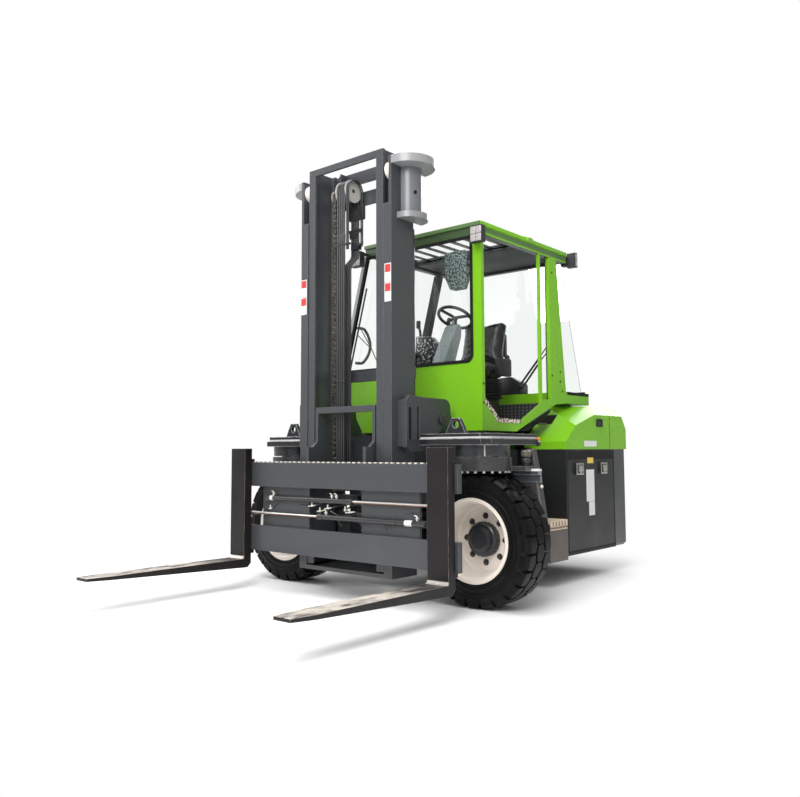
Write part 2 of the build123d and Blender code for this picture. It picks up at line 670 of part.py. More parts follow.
def main_frame():
    """Return the hollow main frame between the wheels."""
    t = FRAME_WALL
    body = box(-FRAME_HALF, FRAME_HALF, FRAME_FRONT, BOX_REAR, FRAME_BOTTOM, DECK_LOWER[0])
    body -= box(-FRAME_HALF + t, FRAME_HALF - t, FRAME_FRONT + t, BOX_REAR - t, FRAME_BOTTOM + t, DECK_LOWER[0] + 1)
    body -= box(-FRAME_HALF + t, FRAME_HALF - t, 1690, BOX_REAR - t, FRAME_BOTTOM - 1, REAR_DRUM_Z[0])
    body += box(-FRAME_HALF + t, FRAME_HALF - t, 1690, 1690 + t, FRAME_BOTTOM, REAR_DRUM_Z[1])
    body += box(-FRAME_HALF + t, FRAME_HALF - t, 1690, BOX_REAR - t, REAR_DRUM_Z[1], REAR_DRUM_Z[1] + 20)
    body -= box(-FRAME_HALF - 1, FRAME_HALF + 1, DECK_END, BOX_REAR + 1, 1008, DECK_LOWER[0] + 1)
    body += box(-DECK_NOTCH, DECK_NOTCH, FRAME_FRONT, DECK_END, DECK_LOWER[0], DECK_UPPER[1])
    body += rod("z", 170, (0, REAR_WHEEL_Y), REAR_DRUM_Z[0], REAR_DRUM_Z[1])
    body -= rod("z", 100 + RUN, (0, REAR_WHEEL_Y), REAR_DRUM_Z[0] - 1, REAR_DRUM_Z[1])
    for x in (-230.0, 230.0):
        body -= box(x - 70, x + 70, FRAME_FRONT - 1, FRAME_FRONT + t + 1, 440, 600)
        body += box(x - 60, x + 60, 925, 945, FRAME_BOTTOM + t, 560)
        for side in (-45, 25):
            body += box(x + side, x + side + 20, 860, 925, 480, 560)
        body += rod("x", 14, (880, 520), x - 45, x + 45)
    return body


def pivot_cheeks():
    """Return the rounded cheeks on the deck that hold the mast's pivot pins."""
    outline = [
        (455, 1175), (470, 1148), (500, 1131), (FRAME_FRONT, 1131), (FRAME_FRONT, DECK_UPPER[1]),
        (860, DECK_UPPER[1]), (860, 1160), (800, 1250), (790, 1330), (770, 1354), (735, 1366), (500, 1366),
        (470, 1350), (455, 1320),
    ]
    body = plate("x", outline, *CHEEK_X)
    body -= rod("x", PIVOT_RADIUS + RUN, (PIVOT_Y, PIVOT_Z), CHEEK_X[0] - 1, CHEEK_X[1] + 1)
    return both(body)


def pivot_pins():
    """Return the two mast pivot pins."""
    return both(rod("x", PIVOT_RADIUS, (PIVOT_Y, PIVOT_Z), CHEEK_X[0] - 2, PIVOT_PLATE_X[1] + 14))


def lifting_lug():
    """Return the left lifting lug on the deck."""
    outline = [(700, DECK_UPPER[1]), (860, DECK_UPPER[1]), (840, 1160), (810, 1215), (755, 1215), (725, 1160)]
    body = plate("y", outline, 440, 470)
    return body - rod("y", 24, (782, 1172), 430, 480)


def steering_motor(sign):
    """Return one steering motor, which stands on its yoke's bracket."""
    dx, dy = MOTOR_PLACE
    return rod("z", MOTOR_RADIUS, (sign * (WHEEL_X + dx), WHEEL_Y + dy), YOKE_BRACKET_TOP, MOTOR_TOP)


def battery_housing():
    """Return the two battery housings beside the main frame, open to the outside."""
    t = BOX_WALL
    body = box(FRAME_HALF, BODY_HALF, BOX_FRONT, BOX_REAR, BOX_BOTTOM, BOX_TOP)
    body -= box(FRAME_HALF + t, BODY_HALF + 1, BOX_FRONT + t, BOX_REAR - t, BOX_BOTTOM + t, BOX_TOP - t)
    return both(body)


def battery_packs():
    """Return the battery as one plain block per side."""
    return both(box(FRAME_HALF + 30, BODY_HALF - 30, BOX_FRONT + 30, BOX_REAR - 30, BOX_BOTTOM + BOX_WALL, 900))


def battery_door(sign):
    """Return one drop-down battery door with its two latches."""
    y0 = BOX_FRONT + 14
    y1 = BOX_REAR - 14
    door = box(BODY_HALF - HINGE_RADIUS, BODY_HALF, y0, y1, DOOR_HINGE_Z, BOX_TOP - 14)
    door += rod("y", HINGE_RADIUS, (BODY_HALF - HINGE_RADIUS, DOOR_HINGE_Z), y0, y1)
    for y in (1885.0, 2300.0):
        door += box(BODY_HALF, BODY_HALF + 12, y - 60, y + 60, 815, 905)
    return door if sign > 0 else mirror(door, about=Plane.YZ)


def counterweight():
    """Return the rear counterweight with its rounded corners and towing pocket."""
    body = box(-BODY_HALF, BODY_HALF, BOX_REAR, REAR_END, BOX_BOTTOM, BOX_TOP)
    corners = body.edges().filter_by(Axis.Z).group_by(Axis.Y)[-1]
    body = fillet(corners, 60)
    low = body.edges().group_by(Axis.Z)[0].filter_by(lambda e: e.center().Y > BOX_REAR + 30)
    body = chamfer(low, 22)
    body -= box(-70, 70, REAR_END - 90, REAR_END + 1, 520, 620)
    body += rod("z", 15, (0, REAR_END - 34), 510, 630)
    return body


def steps():
    """Return the entry steps ahead of the battery housings."""
    return both(box(BODY_HALF - STEP_DEPTH, BODY_HALF, 1435, BOX_FRONT - SEAT, 180, 461))


def side_hoods():
    """Return the faceted hood parts beside the cab."""
    corner = (BODY_HALF, BOX_FRONT, BOX_TOP + HOOD_LIP)
    ridge = (BODY_HALF, 1859, 1197)
    crest = (BODY_HALF, 2178, 1288)
    body = box(HOOD_INNER, BODY_HALF, BOX_FRONT, REAR_END, BOX_TOP, HOOD_TOP)
    body += box(HOOD_ROOT, HOOD_INNER, BOX_FRONT, LEDGE_REAR, BOX_TOP, HOOD_TOP)
    cuts = (
        (corner, ridge, (HOOD_INNER, 1859, 1197)),
        (ridge, crest, (BODY_HALF - 229, 1983, 1295)),
        (crest, (BODY_HALF, 2680, 1288), (BODY_HALF - 100, 2680, HOOD_TOP)),
        ((BODY_HALF, 2680, 1288), (BODY_HALF - 100, 2680, HOOD_TOP), (BODY_HALF, REAR_END, 1180)),
    )
    for cut in cuts:
        body = keep_below(body, cut)
    return both(body)


def rear_hood():
    """Return the rear hood lid behind the cab."""
    y0 = LEDGE_REAR + LID_GAP
    r = LID_HINGE_RADIUS
    side = [
        (y0, BOX_TOP + SEAT), (y0, HOOD_TOP - r), (y0 + r, HOOD_TOP), (2700, HOOD_TOP), (REAR_END, 1280),
        (REAR_END, BOX_TOP + SEAT),
    ]
    body = plate("x", side, -CAB_LEFT, CAB_LEFT)
    body += rod("x", r, (y0 + r, HOOD_TOP - r), -CAB_LEFT, CAB_LEFT)
    inner = [
        (y0 + r, BOX_TOP), (y0 + r, HOOD_TOP - 2 * r), (2694, HOOD_TOP - 2 * r), (2750, 1274), (2750, BOX_TOP),
    ]
    body -= plate("x", inner, -CAB_LEFT + 10, CAB_LEFT - 10)
    return body


# Cab

def right_x(z):
    """Return the outer x of the leaning right cab wall at a height."""
    share = (z - CAB_SILL) / (ROOF_TOP - CAB_SILL)
    return CAB_RIGHT_LOW + max(0.0, share) * (CAB_RIGHT_HIGH - CAB_RIGHT_LOW)


def cab_floor():
    """Return the cab's floor pan."""
    left = CAB_LEFT - CAB_WALL
    right = CAB_RIGHT_LOW + CAB_WALL
    foot = HOOD_ROOT - CAB_GAP
    body = box(right, left, CAB_FRONT + CAB_WALL, 1800, CAB_FLOOR - 8, CAB_FLOOR)
    body += box(-foot, foot, 1800, CAB_END, CAB_FLOOR - 8, CAB_FLOOR)
    body += box(-foot, foot, CAB_END - 8, CAB_END, CAB_FLOOR, LEDGE_Z[0])
    return body + box(right, left, CAB_END - 8, CAB_END, LEDGE_SLAB, LEDGE_Z[0])


def cab_mounts():
    """Return the four mounts that carry the cab on the deck and the frame."""
    found = []
    for y, z0 in ((1000.0, DECK_UPPER[1]), (1260.0, DECK_UPPER[1]), (2000.0, 1008.0)):
        found += both(box(300, 420, y - 60, y + 60, z0, CAB_FLOOR - 8))
    return found


def cab_front():
    """Return the green front wall with its windscreen opening and corner posts."""
    t = 40.0
    outline = [
        (CAB_LEFT, CAB_BOTTOM), (CAB_LEFT, ROOF_BOTTOM), (right_x(ROOF_BOTTOM), ROOF_BOTTOM),
        (CAB_RIGHT_LOW, CAB_SILL), (CAB_RIGHT_LOW, CAB_BOTTOM),
    ]
    body = plate("y", outline, CAB_FRONT, CAB_FRONT + t)
    opening = [
        (CAB_LEFT - 69, CAB_SILL), (CAB_LEFT - 69, ROOF_BOTTOM + 1), (right_x(ROOF_BOTTOM) + 34, ROOF_BOTTOM + 1),
        (CAB_RIGHT_LOW + 34, CAB_SILL),
    ]
    body -= plate("y", opening, CAB_FRONT - 1, CAB_FRONT + t + 1)
    body -= box(CAB_RIGHT_LOW + CAB_WALL, CAB_LEFT - CAB_WALL, CAB_FRONT + CAB_WALL, CAB_FRONT + t + 1,
                CAB_BOTTOM - 1, CAB_SILL - 30)
    return body


def cab_left():
    """Return the left side: low sill wall, rear post and thin bar."""
    sill = [
        (CAB_FRONT + 40 + SEAT, CAB_BOTTOM), (CAB_FRONT + 40 + SEAT, 1360), (1100, 1218), (1386, 1225), (1747, 1400),
        (CAB_END, 1429), (CAB_END, LEDGE_SLAB), *SILL_CUT, (SILL_CUT[-1][0] - 30, CAB_BOTTOM),
    ]
    body = plate("x", sill, CAB_LEFT - CAB_WALL, CAB_LEFT)
    post = [(1855, ROOF_BOTTOM), (1975, ROOF_BOTTOM), (CAB_END, 1429), (CAB_END, 1400), (1855, 1400)]
    body += plate("x", post, CAB_LEFT - 40, CAB_LEFT)
    body += box(CAB_LEFT - 24, CAB_LEFT, 1697, 1719, 1370, ROOF_BOTTOM)
    return body


def cab_right():
    """Return the right side: lower wall and leaning pillar."""
    wall = [
        (CAB_FRONT + 40 + SEAT, CAB_BOTTOM), (CAB_FRONT + 40 + SEAT, CAB_SILL), (CAB_END, CAB_SILL), (CAB_END, LEDGE_SLAB),
        *SILL_CUT, (SILL_CUT[-1][0] - 30, CAB_BOTTOM),
    ]
    body = plate("x", wall, CAB_RIGHT_LOW, CAB_RIGHT_LOW + CAB_WALL)
    w = RIGHT_PILLAR_WIDTH
    lean = [
        (CAB_RIGHT_LOW, CAB_SILL), (right_x(ROOF_BOTTOM), ROOF_BOTTOM), (right_x(ROOF_BOTTOM) + w, ROOF_BOTTOM),
        (CAB_RIGHT_LOW + w, CAB_SILL - 20), (CAB_RIGHT_LOW, CAB_SILL - 20),
    ]
    return body + plate("y", lean, *RIGHT_PILLAR_Y)


def roof():
    """Return the overhead guard: frame, open bars in front and a solid rear plate."""
    x0 = CAB_RIGHT_HIGH
    x1 = CAB_LEFT
    body = box(x0, x1, CAB_FRONT, CAB_REAR, ROOF_BOTTOM, ROOF_TOP)
    body -= box(x0 + 50, x1 - 50, CAB_FRONT + 45, CAB_REAR - 45, ROOF_BOTTOM - 1, ROOF_TOP + 1)
    body += box(x0 + 50, x1 - 50, 1480, CAB_REAR - 45, ROOF_TOP - 30, ROOF_TOP - 10)
    count = 7
    pitch = (x1 - x0 - 100) / (count + 1)
    for i in range(1, count + 1):
        x = x0 + 50 + i * pitch
        body += box(x - 18, x + 18, CAB_FRONT + 40, 1495, ROOF_BOTTOM + 25, ROOF_TOP - 22)
    return body


def ledge():
    """Return the green ledge behind the cab."""
    foot = HOOD_ROOT - CAB_GAP
    body = box(-foot, foot, CAB_END + SEAT, LEDGE_REAR, BOX_TOP, LEDGE_SLAB)
    return body + box(-CAB_LEFT, CAB_LEFT, CAB_END + SEAT, LEDGE_REAR, LEDGE_SLAB, LEDGE_Z[1])


def windscreen():
    """Return the windscreen glass."""
    outline = [
        (CAB_LEFT - 69 - SEAT, CAB_SILL + SEAT), (CAB_LEFT - 69 - SEAT, ROOF_BOTTOM - SEAT),
        (right_x(ROOF_BOTTOM) + 36, ROOF_BOTTOM - SEAT), (CAB_RIGHT_LOW + 36, CAB_SILL + SEAT),
    ]
    return plate("y", outline, CAB_FRONT + 20, CAB_FRONT + 26)


def rear_glass():
    """Return the raked rear glass."""
    side = [
        (CAB_REAR + SEAT, ROOF_BOTTOM + 10), (CAB_REAR + 6, ROOF_BOTTOM + 10), (LEDGE_REAR - 14, LEDGE_Z[1] + SEAT),
        (LEDGE_REAR - 20, LEDGE_Z[1] + SEAT),
    ]
    return plate("x", side, CAB_RIGHT_HIGH + 10, CAB_LEFT - 60)


def seat_base():
    """Return the seat's box, bellows and frame."""
    body = box(SEAT_X - 140, SEAT_X + 140, 1580, 1850, CAB_FLOOR, 1440)
    body += box(SEAT_X - 150, SEAT_X + 150, 1560, 1860, 1440, 1600)
    return body


def seat_cushion():
    """Return the plain seat cushion."""
    return box(SEAT_X - 215, SEAT_X + 215, 1430, 1840, 1600 + SEAT, 1720)


def seat_back():
    """Return the plain seat back."""
    side = [(1740, 1720 + SEAT), (1860, 1720 + SEAT), (1930, 2090), (1830, 2090)]
    return plate("x", side, SEAT_X - 215, SEAT_X + 215)


def steering_column():
    """Return the wedge-shaped steering column."""
    side = [
        (1030, CAB_FLOOR), (1190, CAB_FLOOR), (1347, 1706), (1430, 1912), (1440, 1995), (1405, 2020), (1377, 2000),
        (1202, 1699),
    ]
    body = plate("x", side, SEAT_X - 60, SEAT_X + 60)
    shaft = WHEEL_TURN * Pos(0, 0, -60) * Cylinder(12, 46)
    return body + shaft


def steering_wheel():
    """Return the small steering wheel with its hub and spinner knob."""
    ring = Rot(0, 0, 37) * Torus(140, 13)
    hub = Pos(0, 0, -20) * Cylinder(26, 34)
    body = ring + hub
    for turn in (0, 120, 240):
        body += Rot(0, 0, turn) * box(20, 138, -12, 12, -7, 5)
    body += Pos(-121, 70, 34) * Cylinder(18, 44)
    return WHEEL_TURN * body


def control_box():
    """Return the lever console to the driver's right."""
    body = box(-420, -220, 1250, 1650, CAB_FLOOR, 1640)
    for y in (1300.0, 1370.0, 1440.0):
        body += rod("z", 9, (-300, y), 1640, 1790)
    return body


def lamps():
    """Return the work lamps at the roof's corners, each with its bracket."""
    found = []
    for x in (LAMP_LEFT_X, LAMP_RIGHT_X):
        body = box(x - LAMP_HALF, x + LAMP_HALF, CAB_FRONT - 88, CAB_FRONT - 43, *LAMP_Z)
        near = max(min(x, CAB_LEFT - 20), CAB_RIGHT_HIGH + 15)
        found.append(body + box(near - 10, near + 10, CAB_FRONT - 43, CAB_FRONT, ROOF_BOTTOM + 5, ROOF_BOTTOM + 25))
    rear = box(LAMP_LEFT_X - 33, LAMP_LEFT_X + 37, CAB_REAR + 38, CAB_REAR + 83, *REAR_LAMP_Z)
    rear += box(CAB_LEFT - 30, CAB_LEFT - 5, CAB_REAR, CAB_REAR + 40, ROOF_BOTTOM + 30, ROOF_BOTTOM + 60)
    found.append(rear)
    return found


PIECES = {
    "fork_left": lambda: [fork(FORK_X["left"])],
    "fork_right": lambda: [fork(FORK_X["right"])],
    "positioner_rod_left": lambda: positioner_rod("left"),
    "positioner_rod_right": lambda: positioner_rod("right"),
    "carriage_frame": lambda: [carriage_frame()],
    "carriage_rollers": carriage_rollers,
    "positioner_barrels": positioner_barrels,
    "mast_outer_rails": lambda: [mast_outer()],
    "mast_pivot_plates": pivot_plates,
    "mast_inner_rails": lambda: [mast_inner()],
    "lift_barrels": lift_barrels,
    "lift_rods": lift_rods,
    "mast_top_rollers": top_rollers,
    "mast_top_brackets": top_brackets,
    "chain_sheaves": chain_sheaves,
    "lift_chains": chains,
    "mast_hoses": mast_hoses,
    "tilt_barrels": tilt_barrels,
    "tilt_rods": tilt_rods,
    "deck_and_drums": deck_wings,
    "main_frame": lambda: [main_frame()],
    "mast_pivot_cheeks": pivot_cheeks,
    "mast_pivot_pins": pivot_pins,
    "battery_housings": battery_housing,
    "battery_packs": battery_packs,
    "battery_door_left": lambda: [battery_door(1)],
    "battery_door_right": lambda: [battery_door(-1)],
    "counterweight": lambda: [counterweight()],
    "entry_steps": steps,
    "side_hoods": side_hoods,
    "rear_hood": lambda: [rear_hood()],
    "cab_mounts": cab_mounts,
    "cab_floor": lambda: [cab_floor()],
    "cab_front_wall": lambda: [cab_front()],
    "cab_left_side": lambda: [cab_left()],
    "cab_right_side": lambda: [cab_right()],
    "overhead_guard": lambda: [roof()],
    "rear_ledge": lambda: [ledge()],
    "windscreen": lambda: [windscreen()],
    "rear_glass": lambda: [rear_glass()],
    "seat_base": lambda: [seat_base()],
    "seat_cushion": lambda: [seat_cushion()],
    "seat_back": lambda: [seat_back()],
    "steering_column": lambda: [steering_column()],
    "steering_wheel": lambda: [steering_wheel()],
    "control_box": lambda: [control_box()],
    "work_lamps": lamps,
}

for name, make in PIECES.items():
    save(name, make())

for side, sign in (("left", 1), ("right", -1)):
    centre = (sign * WHEEL_X, WHEEL_Y, TYRE_RADIUS)
    save(f"tyre_{side}", [tyre(TYRE_RADIUS, TYRE_WIDTH, RIM_RADIUS, centre)])
    save(f"rim_{side}", [front_rim(centre)])
    save(f"hub_{side}", [front_hub(centre)])
    save(f"yoke_{side}", [front_yoke(sign * WHEEL_X, sign)])
    save(f"steering_motor_{side}", [steering_motor(sign)])

rear_tyres, rear_rims = rear_wheel_parts()
save("rear_tyres", rear_tyres)
save("rear_rims", rear_rims)
save("rear_yoke", [rear_yoke()])
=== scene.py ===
"""Looks of the multidirectional forklift: its finishes, small parts, tread and padded seat.

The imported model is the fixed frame. Stations in this file are in millimetres, measured as in
the part's source: X to the truck's left, Y back from the forks' front faces, Z up.
"""
from __future__ import annotations

import json
import logging
import math
from dataclasses import dataclass, fields
from enum import Enum
from typing import Iterable, Sequence

import bmesh
import bpy
from mathutils import Matrix, Vector


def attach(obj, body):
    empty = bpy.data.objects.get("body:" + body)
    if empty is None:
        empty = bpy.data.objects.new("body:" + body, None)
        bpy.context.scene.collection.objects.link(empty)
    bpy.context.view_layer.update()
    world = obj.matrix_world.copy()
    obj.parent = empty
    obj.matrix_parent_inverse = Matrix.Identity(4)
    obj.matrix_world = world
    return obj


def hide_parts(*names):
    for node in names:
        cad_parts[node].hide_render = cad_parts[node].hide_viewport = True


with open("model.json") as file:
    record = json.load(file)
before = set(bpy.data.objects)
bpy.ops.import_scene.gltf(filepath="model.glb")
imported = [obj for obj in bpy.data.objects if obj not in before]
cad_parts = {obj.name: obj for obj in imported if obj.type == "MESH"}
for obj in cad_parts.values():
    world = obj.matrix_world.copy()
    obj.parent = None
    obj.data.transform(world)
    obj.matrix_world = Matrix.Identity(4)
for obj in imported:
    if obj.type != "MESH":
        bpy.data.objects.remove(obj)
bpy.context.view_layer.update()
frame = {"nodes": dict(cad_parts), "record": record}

LOG = logging.getLogger("forklift")
Y_ORIGIN = -776.5
Colour = tuple[float, float, float]
Point = tuple[float, float, float]
Span = tuple[float, float]
SIDES = (("left", 1), ("right", -1))


def place(point: Sequence[float]) -> Vector:
    """Turn a station in millimetres into a place in the frame, in metres."""
    return Vector((point[0], point[1] + Y_ORIGIN, point[2])) / 1000.0


def beside(x: float, sign: int, near: float, far: float) -> Span:
    """Return the span between two distances from a station, on the side that the sign names."""
    low, high = sorted((x + sign * near, x + sign * far))
    return low, high


class Slot(Enum):
    """The record's material slots."""

    GREEN = "green_paint"
    STEEL = "steel_paint"
    BLACK = "black_paint"
    FORK = "fork_steel"
    ROD = "bright_rod"
    CREAM = "cream_rim"
    TYRE = "tyre_rubber"
    CHAIN = "chain_steel"
    ROLLER = "roller_steel"
    SEAT = "seat_vinyl"
    PLASTIC = "dark_plastic"
    GLASS = "glass"
    LENS = "lamp_lens"


class Nodes:
    """Short ways to add nodes to one tree and to join them up."""

    def __init__(self, tree: bpy.types.NodeTree) -> None:
        """Take the tree to work on."""
        self.tree = tree

    def put(self, node: bpy.types.Node, inputs: dict[object, object]) -> None:
        """Link each socket, or write each plain value, into the named or numbered input."""
        for label, value in inputs.items():
            if isinstance(value, bpy.types.NodeSocket):
                self.tree.links.new(value, node.inputs[label])
            else:
                node.inputs[label].default_value = value

    def add(self, kind: str, inputs: dict[object, object] | None = None,
            **settings: object) -> bpy.types.Node:
        """Add a node.

        Args:
            kind: The node's type.
            inputs: Sockets or plain values by the input's name or number.
            settings: The node's own settings, made before its inputs.

        Returns:
            The node.
        """
        node = self.tree.nodes.new(kind)
        for label, value in settings.items():
            setattr(node, label, value)
        self.put(node, inputs or {})
        return node

    def given(self, label: str) -> bpy.types.NodeSocket:
        """Return an input of the group that this tree is."""
        return self.tree.nodes["In"].outputs[label]

    def give(self, label: str, value: bpy.types.NodeSocket) -> None:
        """Send a value to an output of the group that this tree is."""
        self.tree.links.new(value, self.tree.nodes["Out"].inputs[label])

    def where(self, label: str = "Object") -> bpy.types.NodeSocket:
        """Return the object coordinates or another of the texture coordinates."""
        return self.add("ShaderNodeTexCoord").outputs[label]

    def split(self, vector: bpy.types.NodeSocket) -> bpy.types.NodeOutputs:
        """Return the X, Y and Z of a vector."""
        return self.add("ShaderNodeSeparateXYZ", {0: vector}).outputs

    def noise(self, scale: object, detail: float) -> bpy.types.NodeSocket:
        """Return a noise on object coordinates."""
        values = {"Vector": self.where(), "Scale": scale, "Detail": detail}
        return self.add("ShaderNodeTexNoise", values).outputs["Fac"]

    def math(self, kind: str, a: object, b: object, clamp: bool = False) -> bpy.types.NodeSocket:
        """Return the result of a sum on two sockets or plain numbers."""
        return self.add("ShaderNodeMath", {0: a, 1: b}, operation=kind, use_clamp=clamp).outputs[0]

    def vector(self, kind: str, inputs: dict[object, object], output: str = "Value") -> bpy.types.NodeSocket:
        """Return the result of a sum on vectors."""
        return self.add("ShaderNodeVectorMath", inputs, operation=kind).outputs[output]

    def ranged(self, value: bpy.types.NodeSocket, low: float, high: float, to_low: float = 0.0,
               to_high: float = 1.0, kind: str = "LINEAR") -> bpy.types.NodeSocket:
        """Map a value from one range to another, with its ends held.

        Args:
            value: The value that is mapped.
            low: The value that becomes to_low.
            high: The value that becomes to_high.
            to_low: The result's first end.
            to_high: The result's other end.
            kind: How the result moves between its ends.

        Returns:
            The mapped value.
        """
        ends = {"Value": value, "From Min": low, "From Max": high, "To Min": to_low, "To Max": to_high}
        return self.add("ShaderNodeMapRange", ends, interpolation_type=kind).outputs["Result"]

    def mix(self, factor: bpy.types.NodeSocket, a: object, b: object) -> bpy.types.NodeSocket:
        """Mix two colours, each a socket or three numbers, and return the result."""
        a, b = (c if isinstance(c, bpy.types.NodeSocket) else (*c, 1.0) for c in (a, b))
        return self.add("ShaderNodeMix", {"Factor": factor, 6: a, 7: b}, data_type="RGBA").outputs[2]

    def group(self, group: bpy.types.NodeTree, values: dict[object, object]) -> bpy.types.NodeOutputs:
        """Place a shared group with its own values and return its outputs."""
        return self.add("ShaderNodeGroup", values, node_tree=group).outputs


class ShaderGroups:
    """The effects that several finishes share, each built once as a node group."""

    def __init__(self) -> None:
        """Build the groups."""
        self.wear = self._edge_wear_and_glint()
        self.grain = self._grain()
        self.dust = self._dust()

    @staticmethod
    def _new(name: str, inputs: dict[str, float], outputs: Sequence[str]) -> Nodes:
        """Start a group.

        Args:
            name: The group's name.
            inputs: The default of each float input by its name.
            outputs: The outputs' names, each a float but for Normal.

        Returns:
            The group's nodes, with its input and output in place.
        """
        tree = bpy.data.node_groups.new(name, "ShaderNodeTree")
        for label, value in inputs.items():
            socket = tree.interface.new_socket(label, in_out="INPUT", socket_type="NodeSocketFloat")
            socket.default_value = value
        for label in outputs:
            kind = "NodeSocketVector" if label == "Normal" else "NodeSocketFloat"
            tree.interface.new_socket(label, in_out="OUTPUT", socket_type=kind)
        tree.nodes.new("NodeGroupInput").name = "In"
        tree.nodes.new("NodeGroupOutput").name = "Out"
        return Nodes(tree)

    def _edge_wear_and_glint(self) -> bpy.types.NodeTree:
        """Build the group that rounds the normal and masks the edges where paint is rubbed off, and where the
        deck and the yoke pads take a painted highlight.
        """
        # The mask marks rubbed edges, and also the painted edge highlights of the deck and the yoke pads.
        nodes = self._new("Edge wear", {"Amount": 0.5, "Scale": 30.0, "Radius": 0.004}, ("Mask", "Normal"))
        soft = nodes.add("ShaderNodeBevel", {"Radius": nodes.given("Radius")}, samples=4).outputs["Normal"]
        flat = nodes.add("ShaderNodeNewGeometry").outputs["Normal"]
        bend = nodes.math("SUBTRACT", 1.0, nodes.vector("DOT_PRODUCT", {0: soft, 1: flat}))
        patch = nodes.math("POWER", nodes.noise(nodes.given("Scale"), 6.0), 3.0)
        rubbed_and_glint = nodes.math("MULTIPLY", nodes.math("MULTIPLY", bend, 22.0), patch)
        nodes.give("Mask", nodes.math("MULTIPLY", rubbed_and_glint, nodes.given("Amount"), clamp=True))
        nodes.give("Normal", soft)
        return nodes.tree

    def _grain(self) -> bpy.types.NodeTree:
        """Build the group that gives fine texture: a bump height and a broad variation."""
        nodes = self._new("Grain", {"Fine": 400.0, "Broad": 3.0}, ("Height", "Variation"))
        nodes.give("Height", nodes.noise(nodes.given("Fine"), 3.0))
        nodes.give("Variation", nodes.noise(nodes.given("Broad"), 5.0))
        return nodes.tree

    def _dust(self) -> bpy.types.NodeTree:
        """Build the group that masks road dust, thickest near the ground."""
        nodes = self._new("Dust", {"Height": 0.9, "Amount": 0.3}, ("Mask",))
        ratio = nodes.math("DIVIDE", nodes.split(nodes.where())["Z"], nodes.given("Height"))
        fade = nodes.math("SUBTRACT", 1.0, ratio, clamp=True)
        patch = nodes.math("MULTIPLY", fade, nodes.noise(9.0, 7.0))
        nodes.give("Mask", nodes.math("MULTIPLY", patch, nodes.given("Amount"), clamp=True))
        return nodes.tree


GROUPS = ShaderGroups()
DUST_COLOUR: Colour = (0.33, 0.29, 0.24)
COAT_ROUGHNESS = 0.08
SPECK_EDGE = 0.015
GLASS_IOR = 1.45


# Finishes


@dataclass(frozen=True)
class Finish:
    """How one kind of surface looks.

    The colour drifts towards the second colour in broad patches, the edges wear to the worn colour (a painted
    highlight on the deck and the yoke pads), and dust lies on it near the ground.
    """

    name: str
    slot: Slot
    colour: Colour
    second: Colour
    roughness: Span
    metallic: float = 0.0
    coat: float = 0.0
    fine: float = 400.0
    broad: float = 3.0
    depth: float = 0.04
    wear: float = 0.0
    worn_and_glint: Colour = (0.30, 0.30, 0.29)
    edge: float = 4.0
    dust: float = 0.0
    dust_height: float = 0.9
    specular: float = 0.5

    def material(self) -> bpy.types.Material:
        """Return this finish's material, built at its first use."""
        made = bpy.data.materials.get(self.name)
        return made if made is not None else self._build()

    def _build(self) -> bpy.types.Material:
        """Build the node tree that all plain finishes share."""
        made, nodes, shader = self._started()
        grain = nodes.group(GROUPS.grain, {"Fine": self.fine, "Broad": self.broad})
        wear = nodes.group(GROUPS.wear, {"Amount": self.wear, "Radius": self.edge / 1000.0})
        dust = nodes.group(GROUPS.dust, {"Amount": self.dust, "Height": self.dust_height})
        base = nodes.mix(grain["Variation"], self.colour, self.second)
        # Edges take the edge colour: worn paint, and on the deck and the yoke pads a painted highlight.
        base = nodes.mix(wear["Mask"], self.pattern(nodes, base), self.worn_and_glint)
        bump = {"Strength": 1.0, "Distance": self.depth / 1000.0, "Height": grain["Height"],
                "Normal": wear["Normal"]}
        nodes.put(shader, {
            "Metallic": self.metallic, "Coat Weight": self.coat, "Coat Roughness": COAT_ROUGHNESS,
            "Specular IOR Level": self.specular, "Base Color": nodes.mix(dust["Mask"], base, DUST_COLOUR),
            "Roughness": nodes.ranged(grain["Variation"], 0.3, 0.7, *self.roughness),
            "Normal": nodes.add("ShaderNodeBump", bump).outputs["Normal"],
        })
        return made

    def _started(self) -> tuple[bpy.types.Material, Nodes, bpy.types.Node]:
        """Return a new material with this finish's name, its nodes and its shader."""
        made = bpy.data.materials.new(self.name)
        made.use_nodes = True
        return made, Nodes(made.node_tree), made.node_tree.nodes["Principled BSDF"]

    def pattern(self, nodes: Nodes, base: bpy.types.NodeSocket) -> bpy.types.NodeSocket:
        """Return the colour with this finish's own pattern on it; the plain finish has none."""
        return base


@dataclass(frozen=True)
class ForkFinish(Finish):
    """Forged fork steel: dark skin with a brown sheen, blades scraped bright and rusty on top."""

    scraped: Colour = (0.62, 0.56, 0.50)

    def pattern(self, nodes: Nodes, base: bpy.types.NodeSocket) -> bpy.types.NodeSocket:
        """Add the scraped patches, long in the forks' direction and only near the blades' tops."""
        where = nodes.where()
        turn = nodes.add("ShaderNodeMapping", {"Vector": where, "Scale": (18.0, 5.0, 30.0)})
        values = {"Vector": turn.outputs["Vector"], "Scale": 1.0, "Detail": 9.0, "Roughness": 0.65}
        patch = nodes.add("ShaderNodeTexNoise", values).outputs["Fac"]
        split = nodes.split(where)
        up = nodes.split(nodes.add("ShaderNodeNewGeometry").outputs["Normal"])["Z"]
        mask = nodes.math("MULTIPLY", nodes.ranged(split["Z"], 0.250, 0.226), nodes.ranged(up, 0.5, 0.9))
        mask = nodes.math("MULTIPLY", mask, nodes.ranged(patch, 0.36, 0.54))
        heel, bare = ((y + Y_ORIGIN) / 1000.0 for y in (-120.0, -480.0))
        mask = nodes.math("MULTIPLY", mask, nodes.ranged(split["Y"], heel, bare, 0.12))
        return nodes.mix(mask, base, self.scraped)


